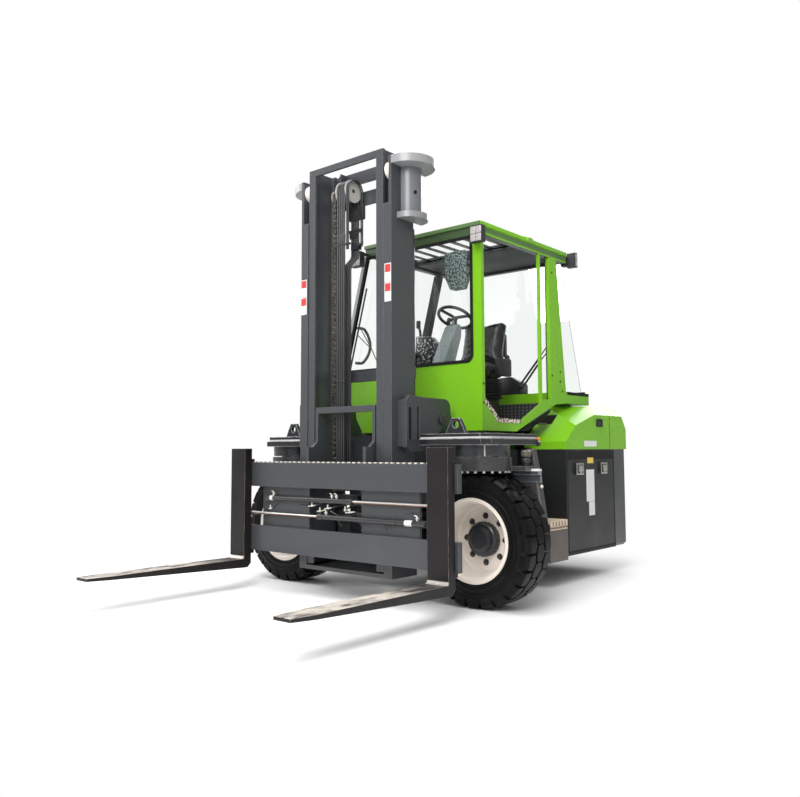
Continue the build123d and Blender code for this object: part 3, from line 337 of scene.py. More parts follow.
@dataclass(frozen=True)
class PlateFinish(Finish):
    """Raised-pattern floor sheet: crossed bars on a dark base."""

    pitch: float = 38.0
    bars: Colour = (0.16, 0.165, 0.16)

    def pattern(self, nodes: Nodes, base: bpy.types.NodeSocket) -> bpy.types.NodeSocket:
        """Add the paler worn bars of the raised pattern."""
        turn = nodes.add("ShaderNodeMapping",
                         {"Vector": nodes.where(), "Rotation": (0.0, 0.0, math.radians(45.0))})
        checks = {"Vector": turn.outputs["Vector"], "Scale": self.pitch, "Randomness": 0.0}
        spot = nodes.add("ShaderNodeTexVoronoi", checks).outputs["Distance"]
        return nodes.mix(nodes.ranged(spot, 0.34, 0.26), base, self.bars)


@dataclass(frozen=True)
class TwoToneAndPaintedLightFinish(Finish):
    """Paint with other colours in some spaces, except on the faces that look one way; the spaces hold
    two-tone paint in some finishes, and painted shade, painted highlights and painted reflections in others.
    """

    spaces: tuple[tuple[Point, Point, Colour], ...] = ()
    outward: Point = (0.0, 0.0, 0.0)

    def pattern(self, nodes: Nodes, base: bpy.types.NodeSocket) -> bpy.types.NodeSocket:
        """Colour the faces that lie in the spaces and don't look outward."""
        split = nodes.split(nodes.where())
        facing = nodes.vector("DOT_PRODUCT", {0: nodes.where("Normal"), 1: self.outward})
        for low, high, colour in self.spaces:
            mask = nodes.math("LESS_THAN", facing, 0.5)
            for index, (a, b) in enumerate(zip(place(low), place(high))):
                off = nodes.math("SUBTRACT", split[index], (a + b) / 2)
                near = nodes.math("LESS_THAN", nodes.math("ABSOLUTE", off, 0.0), (b - a) / 2)
                mask = nodes.math("MULTIPLY", mask, near)
            base = nodes.mix(mask, base, colour)
        return base


@dataclass(frozen=True)
class SpeckledFinish(Finish):
    """A surface with sharp specks of its second colour."""

    speck: float = 90.0
    level: float = 0.5

    def pattern(self, nodes: Nodes, base: bpy.types.NodeSocket) -> bpy.types.NodeSocket:
        """Scatter the specks."""
        edge = nodes.ranged(nodes.noise(self.speck, 2.0), self.level - SPECK_EDGE, self.level + SPECK_EDGE)
        return nodes.mix(edge, self.colour, self.second)


@dataclass(frozen=True)
class GlassFinish(Finish):
    """Clear pane with a faint green cast."""

    def _build(self) -> bpy.types.Material:
        """Build the clear pane, a little uneven in colour and roughness."""
        made, nodes, shader = self._started()
        drift = nodes.group(GROUPS.grain, {"Fine": self.fine, "Broad": self.broad})["Variation"]
        nodes.put(shader, {
            "Transmission Weight": 1.0, "IOR": GLASS_IOR,
            "Base Color": nodes.mix(drift, self.colour, self.second),
            "Roughness": nodes.ranged(drift, 0.0, 1.0, *self.roughness),
        })
        return made


FAR = 5000
OPEN: Span = (-FAR, FAR)


def label(name: str, colour: Colour, second: Colour) -> Finish:
    """Return the finish of a bare label."""
    return Finish(name, Slot.LENS, colour, second, (0.40, 0.50), depth=0.02)


def space(colour: Colour, x: Span = OPEN, y: Span = OPEN, z: Span = OPEN) -> tuple[Point, Point, Colour]:
    """Return a space that a finish gives another colour, open where no span is given."""
    return ((x[0], y[0], z[0]), (x[1], y[1], z[1]), colour)


GREEN_PAINT = Finish("lime_paint", Slot.GREEN, (0.195, 0.49, 0.014), (0.170, 0.45, 0.010), (0.26, 0.36),
                     specular=0.45,
                     depth=0.02, fine=260.0, wear=0.25, worn_and_glint=(0.34, 0.60, 0.12), dust=0.10)
STEEL_PAINT = Finish("slate_paint", Slot.STEEL, (0.048, 0.052, 0.058), (0.040, 0.043, 0.048), (0.36, 0.50),
                     coat=0.12,
                     depth=0.05, fine=320.0, wear=0.7, worn_and_glint=(0.24, 0.24, 0.24), dust=0.08, dust_height=0.5)
BLACK_PAINT = Finish("black_paint_satin", Slot.BLACK, (0.020, 0.021, 0.023), (0.013, 0.014, 0.015),
                     (0.26, 0.40), coat=0.25,
                     depth=0.05, fine=300.0, wear=0.8, worn_and_glint=(0.22, 0.22, 0.22), dust=0.08)
# Painted highlights: the pale band at z 1082-1092 on the deck's sides and the pale edge colour stand for the
# sky reflected in its glossy black edges.
DECK_PAINT = TwoToneAndPaintedLightFinish("deck_paint_gloss", Slot.STEEL, (0.012, 0.013, 0.015), (0.009, 0.010, 0.012),
                           (0.22, 0.34),
                           coat=0.25, depth=0.05, fine=300.0, wear=1.6, worn_and_glint=(0.62, 0.62, 0.61), edge=7.0,
                           dust=0.08,
                           dust_height=1.2, outward=(0.0, 0.0, 1.0),
                           spaces=(space((0.60, 0.60, 0.61), z=(1082, 1092)),
                                   space((0.026, 0.029, 0.033), z=(955, 1045))))
CASING_PAINT = TwoToneAndPaintedLightFinish("casing_paint", Slot.STEEL, (0.150, 0.160, 0.170), (0.120, 0.128, 0.138),
                             (0.30, 0.42),
                             coat=0.2, depth=0.04, wear=0.8, worn_and_glint=(0.36, 0.36, 0.36),
                             spaces=(space((0.25, 0.25, 0.255), z=(2941, 2999)),
                                     space((0.20, 0.205, 0.21), z=(2577, 2619))))
CHARCOAL = Finish("charcoal_box_paint", Slot.STEEL, (0.019, 0.020, 0.021), (0.015, 0.016, 0.017),
                  (0.36, 0.48), specular=0.32,
                  depth=0.06, fine=280.0, wear=0.4, worn_and_glint=(0.12, 0.12, 0.12), dust=0.10, dust_height=0.6)
TURRET_PAINT = Finish("turret_paint", Slot.STEEL, (0.030, 0.031, 0.034), (0.045, 0.045, 0.047), (0.22, 0.36),
                      coat=0.3,
                      depth=0.06, wear=1.6, worn_and_glint=(0.36, 0.35, 0.34), dust=0.12, dust_height=0.8)
# Painted highlight: the pale band from z 869 up and the pale edge colour stand for the glint along the pad's
# glossy top edge.
PAD_GLOSS = TwoToneAndPaintedLightFinish("pad_gloss", Slot.STEEL, (0.060, 0.066, 0.072), (0.048, 0.053, 0.058), (0.14, 0.22),
                          coat=0.6,
                          depth=0.03, wear=2.0, worn_and_glint=(0.60, 0.60, 0.60), edge=8.0,
                          spaces=(space((0.66, 0.66, 0.66), z=(869, FAR)),))
STEP_PAINT = Finish("step_paint", Slot.STEEL, (0.080, 0.066, 0.058), (0.060, 0.051, 0.046), (0.40, 0.55),
                    depth=0.06,
                    wear=1.4, worn_and_glint=(0.42, 0.38, 0.34), dust=0.35, dust_height=0.6)
FORK_STEEL = ForkFinish("forged_fork_steel", Slot.FORK, (0.007, 0.0065, 0.0075), (0.017, 0.013, 0.013),
                        (0.32, 0.48),
                        metallic=0.1, depth=0.12, fine=120.0, broad=5.0, wear=1.2, worn_and_glint=(0.36, 0.31, 0.29),
                        specular=0.28)
HEEL_STEEL = Finish("fork_heel_bright", Slot.FORK, (0.66, 0.62, 0.58), (0.34, 0.30, 0.27), (0.30, 0.46),
                    metallic=0.5,
                    depth=0.08, fine=160.0, broad=30.0)
# Painted reflection: faces that don't turn to the front and top are dark brown, so only the rods' front-upper
# side stays bright chrome.
ROD_CHROME = TwoToneAndPaintedLightFinish("positioner_rod_chrome", Slot.ROD, (0.86, 0.84, 0.83), (0.74, 0.70, 0.68),
                           (0.10, 0.20),
                           metallic=0.6, depth=0.01, outward=(0.0, -0.5, 0.5),
                           spaces=(space((0.20, 0.10, 0.07)),))
CHROME = Finish("hard_chrome", Slot.ROD, (0.80, 0.78, 0.77), (0.66, 0.62, 0.60), (0.08, 0.16), metallic=1.0,
                depth=0.01)
CREAM_PAINT = Finish("cream_rim_paint", Slot.CREAM, (0.86, 0.78, 0.70), (0.74, 0.66, 0.58), (0.28, 0.40),
                     coat=0.3,
                     depth=0.03, wear=0.4, worn_and_glint=(0.45, 0.38, 0.32), dust=0.12)
RUBBER = Finish("tyre_rubber_black", Slot.TYRE, (0.005, 0.005, 0.005), (0.010, 0.010, 0.010), (0.14, 0.24),
                depth=0.10,
                fine=180.0, broad=9.0, wear=0.2, worn_and_glint=(0.04, 0.04, 0.04), dust=0.02, dust_height=0.4,
                specular=0.08)
HUB_BLACK = Finish("hub_black", Slot.BLACK, (0.013, 0.014, 0.016), (0.020, 0.022, 0.025), (0.32, 0.46),
                   coat=0.15, depth=0.12,
                   fine=150.0, wear=0.8, worn_and_glint=(0.12, 0.12, 0.12))
CHAIN_STEEL = Finish("oiled_chain", Slot.CHAIN, (0.060, 0.054, 0.050), (0.11, 0.10, 0.09), (0.30, 0.50),
                     metallic=0.8,
                     depth=0.05, wear=1.0, worn_and_glint=(0.35, 0.33, 0.30))
ROLLER_STEEL = Finish("roller_steel_pale", Slot.ROLLER, (0.62, 0.58, 0.50), (0.50, 0.46, 0.40), (0.25, 0.40),
                      metallic=0.7,
                      depth=0.03, wear=0.5)
VINYL = Finish("seat_vinyl_black", Slot.SEAT, (0.014, 0.014, 0.015), (0.024, 0.024, 0.025), (0.30, 0.42),
               coat=0.15,
               depth=0.18, fine=520.0)
DARK_PLASTIC = Finish("moulded_plastic", Slot.PLASTIC, (0.018, 0.018, 0.020), (0.028, 0.028, 0.030),
                      (0.40, 0.54),
                      depth=0.08, fine=600.0)
HOSE_RUBBER = Finish("hose_rubber", Slot.PLASTIC, (0.020, 0.021, 0.023), (0.032, 0.033, 0.036), (0.26, 0.38),
                     depth=0.06,
                     fine=700.0, coat=0.1)
GREY_PLASTIC = Finish("moulded_grey_plastic", Slot.PLASTIC, (0.10, 0.105, 0.11), (0.13, 0.135, 0.14),
                      (0.40, 0.55),
                      depth=0.08, fine=600.0)
COLUMN_GREY = SpeckledFinish("column_plastic", Slot.PLASTIC, (0.300, 0.330, 0.335), (0.200, 0.235, 0.240),
                             (0.42, 0.56),
                             depth=0.10, fine=420.0, speck=120.0)
SPOTTED_BLACK = SpeckledFinish("spotted_black", Slot.PLASTIC, (0.010, 0.011, 0.012), (0.55, 0.56, 0.56),
                               (0.35, 0.50),
                               depth=0.2, fine=220.0, speck=52.0, level=0.575)
PEBBLED_GREY = SpeckledFinish("pebbled_lining", Slot.PLASTIC, (0.260, 0.350, 0.330), (0.008, 0.014, 0.016),
                              (0.45, 0.65),
                              depth=0.4, fine=220.0, speck=64.0)
LINING = Finish("slate_lining", Slot.PLASTIC, (0.036, 0.041, 0.045), (0.028, 0.032, 0.036), (0.50, 0.66),
                depth=0.10)
FLOOR_PLATE = PlateFinish("raised_pattern_plate", Slot.STEEL, (0.050, 0.052, 0.054), (0.036, 0.038, 0.040),
                          (0.40, 0.60),
                          metallic=0.3, depth=0.10, wear=0.3)
SEAL_RUBBER = Finish("seal_rubber", Slot.TYRE, (0.006, 0.006, 0.006), (0.010, 0.010, 0.010), (0.50, 0.65),
                     depth=0.05,
                     specular=0.2)
GRIT_STRIP = SpeckledFinish("grit_strip", Slot.PLASTIC, (0.80, 0.70, 0.58), (0.07, 0.06, 0.045), (0.65, 0.85),
                            depth=0.6,
                            fine=240.0, speck=62.0)
STEP_RIB = Finish("step_rib_tan", Slot.PLASTIC, (0.80, 0.66, 0.52), (0.58, 0.44, 0.32), (0.60, 0.80),
                  depth=0.4,
                  fine=260.0, broad=24.0, wear=0.6, worn_and_glint=(0.80, 0.74, 0.66))
PALE_PLATE = label("pale_label", (0.74, 0.74, 0.72), (0.66, 0.66, 0.64))
RED_PLATE = label("red_label", (0.55, 0.035, 0.035), (0.48, 0.03, 0.03))
YELLOW_PLATE = label("yellow_label", (0.78, 0.60, 0.10), (0.74, 0.55, 0.08))
ORANGE_PLATE = label("orange_label", (0.80, 0.30, 0.03), (0.74, 0.26, 0.03))
ZINC = Finish("zinc_plate", Slot.ROLLER, (0.60, 0.58, 0.54), (0.40, 0.38, 0.35), (0.24, 0.40), metallic=0.9,
              depth=0.03,
              wear=0.4, worn_and_glint=(0.80, 0.78, 0.74))
PALE_ZINC = Finish("pale_zinc", Slot.ROLLER, (0.78, 0.74, 0.66), (0.58, 0.54, 0.47), (0.30, 0.46),
                   metallic=0.3, depth=0.03,
                   wear=0.6, worn_and_glint=(0.86, 0.84, 0.80))
COPPER_CAP = TwoToneAndPaintedLightFinish("motor_two_tone", Slot.BLACK, (0.016, 0.016, 0.018), (0.026, 0.026, 0.028),
                           (0.24, 0.40),
                           metallic=0.3, depth=0.10, fine=160.0, wear=1.2, worn_and_glint=(0.40, 0.36, 0.32),
                           spaces=(space((0.12, 0.105, 0.085), z=(968, FAR)),))
SHEAVE_STEEL = Finish("sheave_steel", Slot.ROLLER, (0.64, 0.62, 0.58), (0.52, 0.50, 0.46), (0.28, 0.42),
                      metallic=0.25,
                      depth=0.03, wear=0.5, worn_and_glint=(0.80, 0.78, 0.74))
LENS = Finish("lamp_lens_clear", Slot.LENS, (0.72, 0.70, 0.68), (0.42, 0.37, 0.38), (0.10, 0.20),
              metallic=0.3, coat=0.8,
              depth=0.5, fine=160.0, broad=60.0)
GLASS = GlassFinish("clear_glass", Slot.GLASS, (0.93, 0.97, 0.95), (0.96, 0.98, 0.97), (0.0, 0.02))
SLATE_LINING: Colour = (0.036, 0.041, 0.045)


def lime(name: str, *spaces: tuple[Point, Point, Colour], outward: Point = (0.0, 0.0, 0.0)) -> TwoToneAndPaintedLightFinish:
    """Return the lime paint without dust and with other colours in some spaces."""
    look = {field.name: getattr(GREEN_PAINT, field.name) for field in fields(Finish)}
    look.update(name=name, dust=0.0, spaces=spaces, outward=outward)
    return TwoToneAndPaintedLightFinish(**look)


# Painted shade: the dark green band on the roof's front face. A darker green band runs along the left side
# below the edge, and the slate space is the lining's own colour.
ROOF_PAINT = lime("roof_paint", space((0.045, 0.080, 0.032), y=(-FAR, 886.4), z=(2562, 2639)),
                  space((0.085, 0.170, 0.050), x=(689.2, FAR), z=(2574, 2612)),
                  space(SLATE_LINING, x=(-427, 689), y=(886.5, 2141), z=(0, 2639)))
SHADED_GREEN = Finish("shaded_green", Slot.GREEN, (0.095, 0.190, 0.055), (0.070, 0.140, 0.045), (0.34, 0.44),
                      depth=0.02)
# The slate space is the lining's own colour. The pale grey on the truck's right front post is dark grey paint
# lightened with painted reflection.
FRONT_WALL_PAINT = lime("front_wall_paint", space(SLATE_LINING, x=(-FAR, 687), y=(887, FAR), z=(0, FAR)),
                        space((0.44, 0.46, 0.46), x=(-FAR, -350), z=(1632, FAR)))
LEFT_SIDE_PAINT = lime("left_side_paint", space(SLATE_LINING, x=(-FAR, 660)))
# The near-black space is the cab's dark inside paint. The pale grey on the front post is dark grey paint
# lightened with painted reflection.
RIGHT_SIDE_PAINT = lime("right_side_paint", space((0.020, 0.023, 0.026), z=(1627, FAR)),
                        space((0.40, 0.42, 0.42), y=(-FAR, 1000), z=(1632, FAR)), outward=(-1.0, 0.0, 0.0))

NODE_FINISHES: dict[Slot, Finish] = {
    Slot.GREEN: GREEN_PAINT, Slot.STEEL: STEEL_PAINT, Slot.BLACK: BLACK_PAINT, Slot.FORK: FORK_STEEL,
    Slot.ROD: CHROME, Slot.CREAM: CREAM_PAINT, Slot.TYRE: RUBBER, Slot.CHAIN: CHAIN_STEEL,
    Slot.ROLLER: ROLLER_STEEL, Slot.SEAT: VINYL, Slot.PLASTIC: DARK_PLASTIC, Slot.GLASS: GLASS,
    Slot.LENS: GREY_PLASTIC,
}
NODE_EXCEPTIONS: dict[str, Finish] = {
    "cab_floor": FLOOR_PLATE, "positioner_rod_left": ROD_CHROME, "positioner_rod_right": ROD_CHROME,
    "steering_column": COLUMN_GREY, "mast_top_rollers": CREAM_PAINT,
    "overhead_guard": ROOF_PAINT, "cab_front_wall": FRONT_WALL_PAINT, "cab_left_side": LEFT_SIDE_PAINT,
    "cab_right_side": RIGHT_SIDE_PAINT, "mast_pivot_pins": BLACK_PAINT, "battery_housings": CHARCOAL,
    "battery_door_left": CHARCOAL, "battery_door_right": CHARCOAL, "mast_top_brackets": CASING_PAINT,
    "deck_and_drums": DECK_PAINT, "hub_left": HUB_BLACK, "hub_right": HUB_BLACK, "entry_steps": STEP_PAINT,
    "yoke_left": TURRET_PAINT, "yoke_right": TURRET_PAINT, "mast_hoses": HOSE_RUBBER,
    "work_lamps": DARK_PLASTIC, "chain_sheaves": SHEAVE_STEEL, "steering_motor_left": COPPER_CAP,
    "steering_motor_right": COPPER_CAP,
}


# Meshes


class Piece:
    """A mesh under construction, its stations in millimetres, that ends as one named object."""

    def __init__(self) -> None:
        """Start an empty mesh."""
        self.mesh = bmesh.new()

    def block(self, x: Span, y: Span, z: Span, chamfer: float = 0.0) -> Piece:
        """Add a block between two corners, with its edges cut by an optional chamfer."""
        made = bmesh.ops.create_cube(self.mesh, size=1.0)
        size = Vector((x[1] - x[0], y[1] - y[0], z[1] - z[0])) / 1000.0
        centre = place(((x[0] + x[1]) / 2, (y[0] + y[1]) / 2, (z[0] + z[1]) / 2))
        move = Matrix.Translation(centre) @ Matrix.Diagonal((*size, 1.0))
        bmesh.ops.transform(self.mesh, matrix=move, verts=made["verts"])
        if chamfer:
            edges = list(dict.fromkeys(e for v in made["verts"] for e in v.link_edges))
            bmesh.ops.bevel(self.mesh, geom=edges, offset=chamfer / 1000.0, segments=2, affect="EDGES",
                            profile=0.7)
        return self

    def lathe(self, axis: str, profile: Sequence[Span], centre: Point, sides: int = 32) -> Piece:
        """Turn a closed outline about an axis.

        Args:
            axis: The axis of turning, x, y or z.
            profile: Pairs of station along the axis and radius.
            centre: The point on the axis that the stations count from.
            sides: How many steps one turn takes.

        Returns:
            This piece.
        """
        turn = {"x": Matrix.Rotation(math.pi / 2, 4, "Y"), "y": Matrix.Rotation(-math.pi / 2, 4, "X"),
                "z": Matrix()}[axis]
        move = Matrix.Translation(place(centre)) @ turn
        rings = []
        for along, radius in profile:
            ring = []
            count = sides if radius > 1e-6 else 1
            for i in range(count):
                angle = 2 * math.pi * i / sides
                spot = Vector((radius * math.cos(angle), radius * math.sin(angle), along)) / 1000.0
                ring.append(self.mesh.verts.new(move @ spot))
            rings.append(ring)
        for a, b in zip(rings, rings[1:] + rings[:1]):
            self._join(a, b, sides)
        return self

    def _join(self, a: list, b: list, sides: int) -> None:
        """Close the band between two rings, either of which may be one point on the axis."""
        if len(a) == 1 and len(b) == 1:
            return
        for i in range(sides):
            j = (i + 1) % sides
            corners = [a[i % len(a)], a[j % len(a)], b[j % len(b)], b[i % len(b)]]
            self.mesh.faces.new(list(dict.fromkeys(corners)))

    def rod(self, axis: str, radius: float, centre: Span, span: Span, sides: int = 20,
            chamfer: float = 0.0) -> Piece:
        """Add a cylinder along an axis; centre holds the other two coordinates in order."""
        low, high = span
        start = {"x": (low, *centre), "y": (centre[0], low, centre[1]), "z": (*centre, low)}[axis]
        length = high - low
        profile = [(0, 0), (0, radius - chamfer), (chamfer, radius), (length - chamfer, radius),
                   (length, radius - chamfer), (length, 0)]
        if not chamfer:
            profile = [(0, 0), (0, radius), (length, radius), (length, 0)]
        return self.lathe(axis, profile, start, sides)

    def prism(self, axis: str, outline: Sequence[Span], span: Span) -> Piece:
        """Add a plate that stands on a closed outline, given in the axis's other two coordinates."""
        ends = []
        for station in span:
            points = {"x": [(station, a, b) for a, b in outline], "y": [(a, station, b) for a, b in outline],
                      "z": [(a, b, station) for a, b in outline]}[axis]
            ends.append([self.mesh.verts.new(place(p)) for p in points])
        near, far = ends
        self.mesh.faces.new(near)
        self.mesh.faces.new(list(reversed(far)))
        for i in range(len(near)):
            j = (i + 1) % len(near)
            self.mesh.faces.new([near[i], far[i], far[j], near[j]])
        return self

    def pipe(self, points: Sequence[Point], radius: float, sides: int = 10, smooth: bool = True) -> Piece:
        """Add a round pipe or bar that follows points, by a curve turned into a mesh."""
        curve = bpy.data.curves.new("pipe", "CURVE")
        curve.dimensions = "3D"
        curve.bevel_depth = radius / 1000.0
        curve.bevel_resolution = max(1, sides // 4)
        curve.use_fill_caps = True
        spline = curve.splines.new("BEZIER" if smooth else "POLY")
        run = spline.bezier_points if smooth else spline.points
        run.add(len(points) - 1)
        for knot, point in zip(run, points):
            knot.co = place(point) if smooth else (*place(point), 1.0)
            if smooth:
                knot.handle_left_type = knot.handle_right_type = "AUTO"
        spline.resolution_u = 8
        holder = bpy.data.objects.new("pipe", curve)
        bpy.context.scene.collection.objects.link(holder)
        bpy.context.view_layer.update()
        made = bpy.data.meshes.new_from_object(holder.evaluated_get(bpy.context.evaluated_depsgraph_get()))
        self.mesh.from_mesh(made)
        bpy.data.objects.remove(holder)
        bpy.data.meshes.remove(made)
        return self

    def turn(self, angle: float, axis: str, about: Point) -> Piece:
        """Turn all that the piece holds so far about an axis through a point."""
        spot = Matrix.Translation(place(about))
        move = spot @ Matrix.Rotation(math.radians(angle), 4, axis.upper()) @ spot.inverted()
        bmesh.ops.transform(self.mesh, matrix=move, verts=self.mesh.verts)
        return self

    def mirrored(self) -> Piece:
        """Add the mirror image of all that the piece holds, across the truck's middle."""
        source = list(self.mesh.faces)
        copy = bmesh.ops.duplicate(self.mesh, geom=list(self.mesh.verts) + list(self.mesh.edges) + source)
        verts = [v for v in copy["geom"] if isinstance(v, bmesh.types.BMVert)]
        faces = [f for f in copy["geom"] if isinstance(f, bmesh.types.BMFace)]
        bmesh.ops.transform(self.mesh, matrix=Matrix.Diagonal((-1.0, 1.0, 1.0, 1.0)), verts=verts)
        bmesh.ops.reverse_faces(self.mesh, faces=faces)
        return self

    def done(self, name: str, finish: Finish, body: str = "chassis", bevel: float = 0.0) -> bpy.types.Object:
        """Close the mesh into an object that rides on a body.

        Args:
            name: The piece's name.
            finish: Its finish.
            body: The body that it moves with.
            bevel: The width of a modelled edge, in millimetres.

        Returns:
            The finished object.
        """
        bmesh.ops.recalc_face_normals(self.mesh, faces=self.mesh.faces)
        made = meshed(name, self.mesh)
        if bevel:
            edge = made.modifiers.new("edge", "BEVEL")
            edge.width = bevel / 1000.0
            edge.segments = 2
            edge.limit_method = "ANGLE"
            bake(made)
        return settle(made, finish, body)


def meshed(name: str, mesh: bmesh.types.BMesh) -> bpy.types.Object:
    """Turn a mesh under construction into an object in the scene."""
    data = bpy.data.meshes.new(name)
    mesh.to_mesh(data)
    mesh.free()
    made = bpy.data.objects.new(name, data)
    bpy.context.scene.collection.objects.link(made)
    return made


def bake(made: bpy.types.Object) -> None:
    """Turn an object's modifiers into its plain mesh."""
    bpy.context.view_layer.update()
    shape = made.evaluated_get(bpy.context.evaluated_depsgraph_get())
    data = bpy.data.meshes.new_from_object(shape)
    made.modifiers.clear()
    made.data = data


def settle(made: bpy.types.Object, finish: Finish, body: str, crease: float = 35.0) -> bpy.types.Object:
    """Give a finished mesh its finish, its smooth faces and its body."""
    made.data.materials.clear()
    made.data.materials.append(finish.material())
    made.data.shade_smooth()
    made.data.set_sharp_from_angle(angle=math.radians(crease))
    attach(made, body)
    LOG.info("%s: %d faces, on %s", made.name, len(made.data.polygons), body)
    return made


# Repeats by Geometry Nodes


class Repeats:
    """Two trees that repeat a small mesh: in a row along a step, and in a ring about an axis."""

    def __init__(self) -> None:
        """Build both trees."""
        self.row = self._tree("Row", ring=False)
        self.ring = self._tree("Ring", ring=True)

    @staticmethod
    def _tree(name: str, ring: bool) -> bpy.types.NodeTree:
        """Build one tree, which ends in real faces with the material that is asked for."""
        nodes = Nodes(bpy.data.node_groups.new(name, "GeometryNodeTree"))
        face = nodes.tree.interface
        for label, kind in (("Geometry", "Geometry"), ("Count", "Int"), ("Step", "Vector"),
                            ("Centre", "Vector"),
                            ("Material", "Material")):
            face.new_socket(label, in_out="INPUT", socket_type=f"NodeSocket{kind}")
        face.new_socket("Geometry", in_out="OUTPUT", socket_type="NodeSocketGeometry")
        given = nodes.add("NodeGroupInput").outputs
        line = nodes.add("GeometryNodeMeshLine", {"Count": given["Count"]}, mode="OFFSET")
        copied = {"Points": line.outputs["Mesh"], "Instance": given["Geometry"]}
        if ring:
            nodes.put(line, {"Offset": (0.0, 0.0, 0.0), "Start Location": given["Centre"]})
            index = nodes.add("GeometryNodeInputIndex").outputs[0]
            flip = nodes.vector("SCALE", {0: given["Centre"], "Scale": -1.0}, "Vector")
            shift = nodes.add("GeometryNodeTransform", {"Geometry": given["Geometry"], "Translation": flip})
            copied["Instance"] = shift.outputs["Geometry"]
            copied["Rotation"] = nodes.vector("SCALE", {0: given["Step"], "Scale": index}, "Vector")
        else:
            nodes.put(line, {"Offset": given["Step"]})
        copies = nodes.add("GeometryNodeInstanceOnPoints", copied)
        real = nodes.add("GeometryNodeRealizeInstances", {"Geometry": copies.outputs["Instances"]})
        painted = {"Geometry": real.outputs["Geometry"], "Material": given["Material"]}
        paint = nodes.add("GeometryNodeSetMaterial", painted)
        nodes.add("NodeGroupOutput", {"Geometry": paint.outputs["Geometry"]})
        return nodes.tree

    def _made(self, tree: bpy.types.NodeTree, seed: Piece, name: str, finish: Finish,
              values: dict[str, object]) -> bpy.types.Object:
        """Run one tree on a small mesh and keep the result as a plain mesh."""
        bmesh.ops.recalc_face_normals(seed.mesh, faces=seed.mesh.faces)
        made = meshed(name, seed.mesh)
        run = made.modifiers.new("repeat", "NODES")
        run.node_group = tree
        keys = {s.name: s.identifier for s in tree.interface.items_tree if s.in_out == "INPUT"}
        for label, value in values.items():
            run[keys[label]] = value
        run[keys["Material"]] = finish.material()
        bake(made)
        return made

    def in_row(self, seed: Piece, name: str, finish: Finish, count: int, step: Point) -> bpy.types.Object:
        """Repeat a small mesh along a step.

        Args:
            seed: The mesh that is repeated, at its first place.
            name: The row's name.
            finish: Its finish.
            count: How many there are.
            step: The way from one to the next, in millimetres.

        Returns:
            The row, still without a body.
        """
        return self._made(self.row, seed, name, finish, {"Count": count, "Step": Vector(step) / 1000.0})

    def in_ring(self, seed: Piece, name: str, finish: Finish, count: int, turn: Point,
                centre: Point) -> bpy.types.Object:
        """Repeat a small mesh about a point, each copy turned by one more step in degrees."""
        values = {"Count": count, "Step": Vector([math.radians(a) for a in turn]), "Centre": place(centre)}
        return self._made(self.ring, seed, name, finish, values)


REPEATS = Repeats()


def joined(name: str, parts: Iterable[bpy.types.Object], finish: Finish,
           body: str = "chassis") -> bpy.types.Object:
    """Join finished meshes into one piece on one body."""
    whole = bmesh.new()
    for part in parts:
        whole.from_mesh(part.data)
        bpy.data.objects.remove(part)
    return settle(meshed(name, whole), finish, body)


# Sub-assemblies


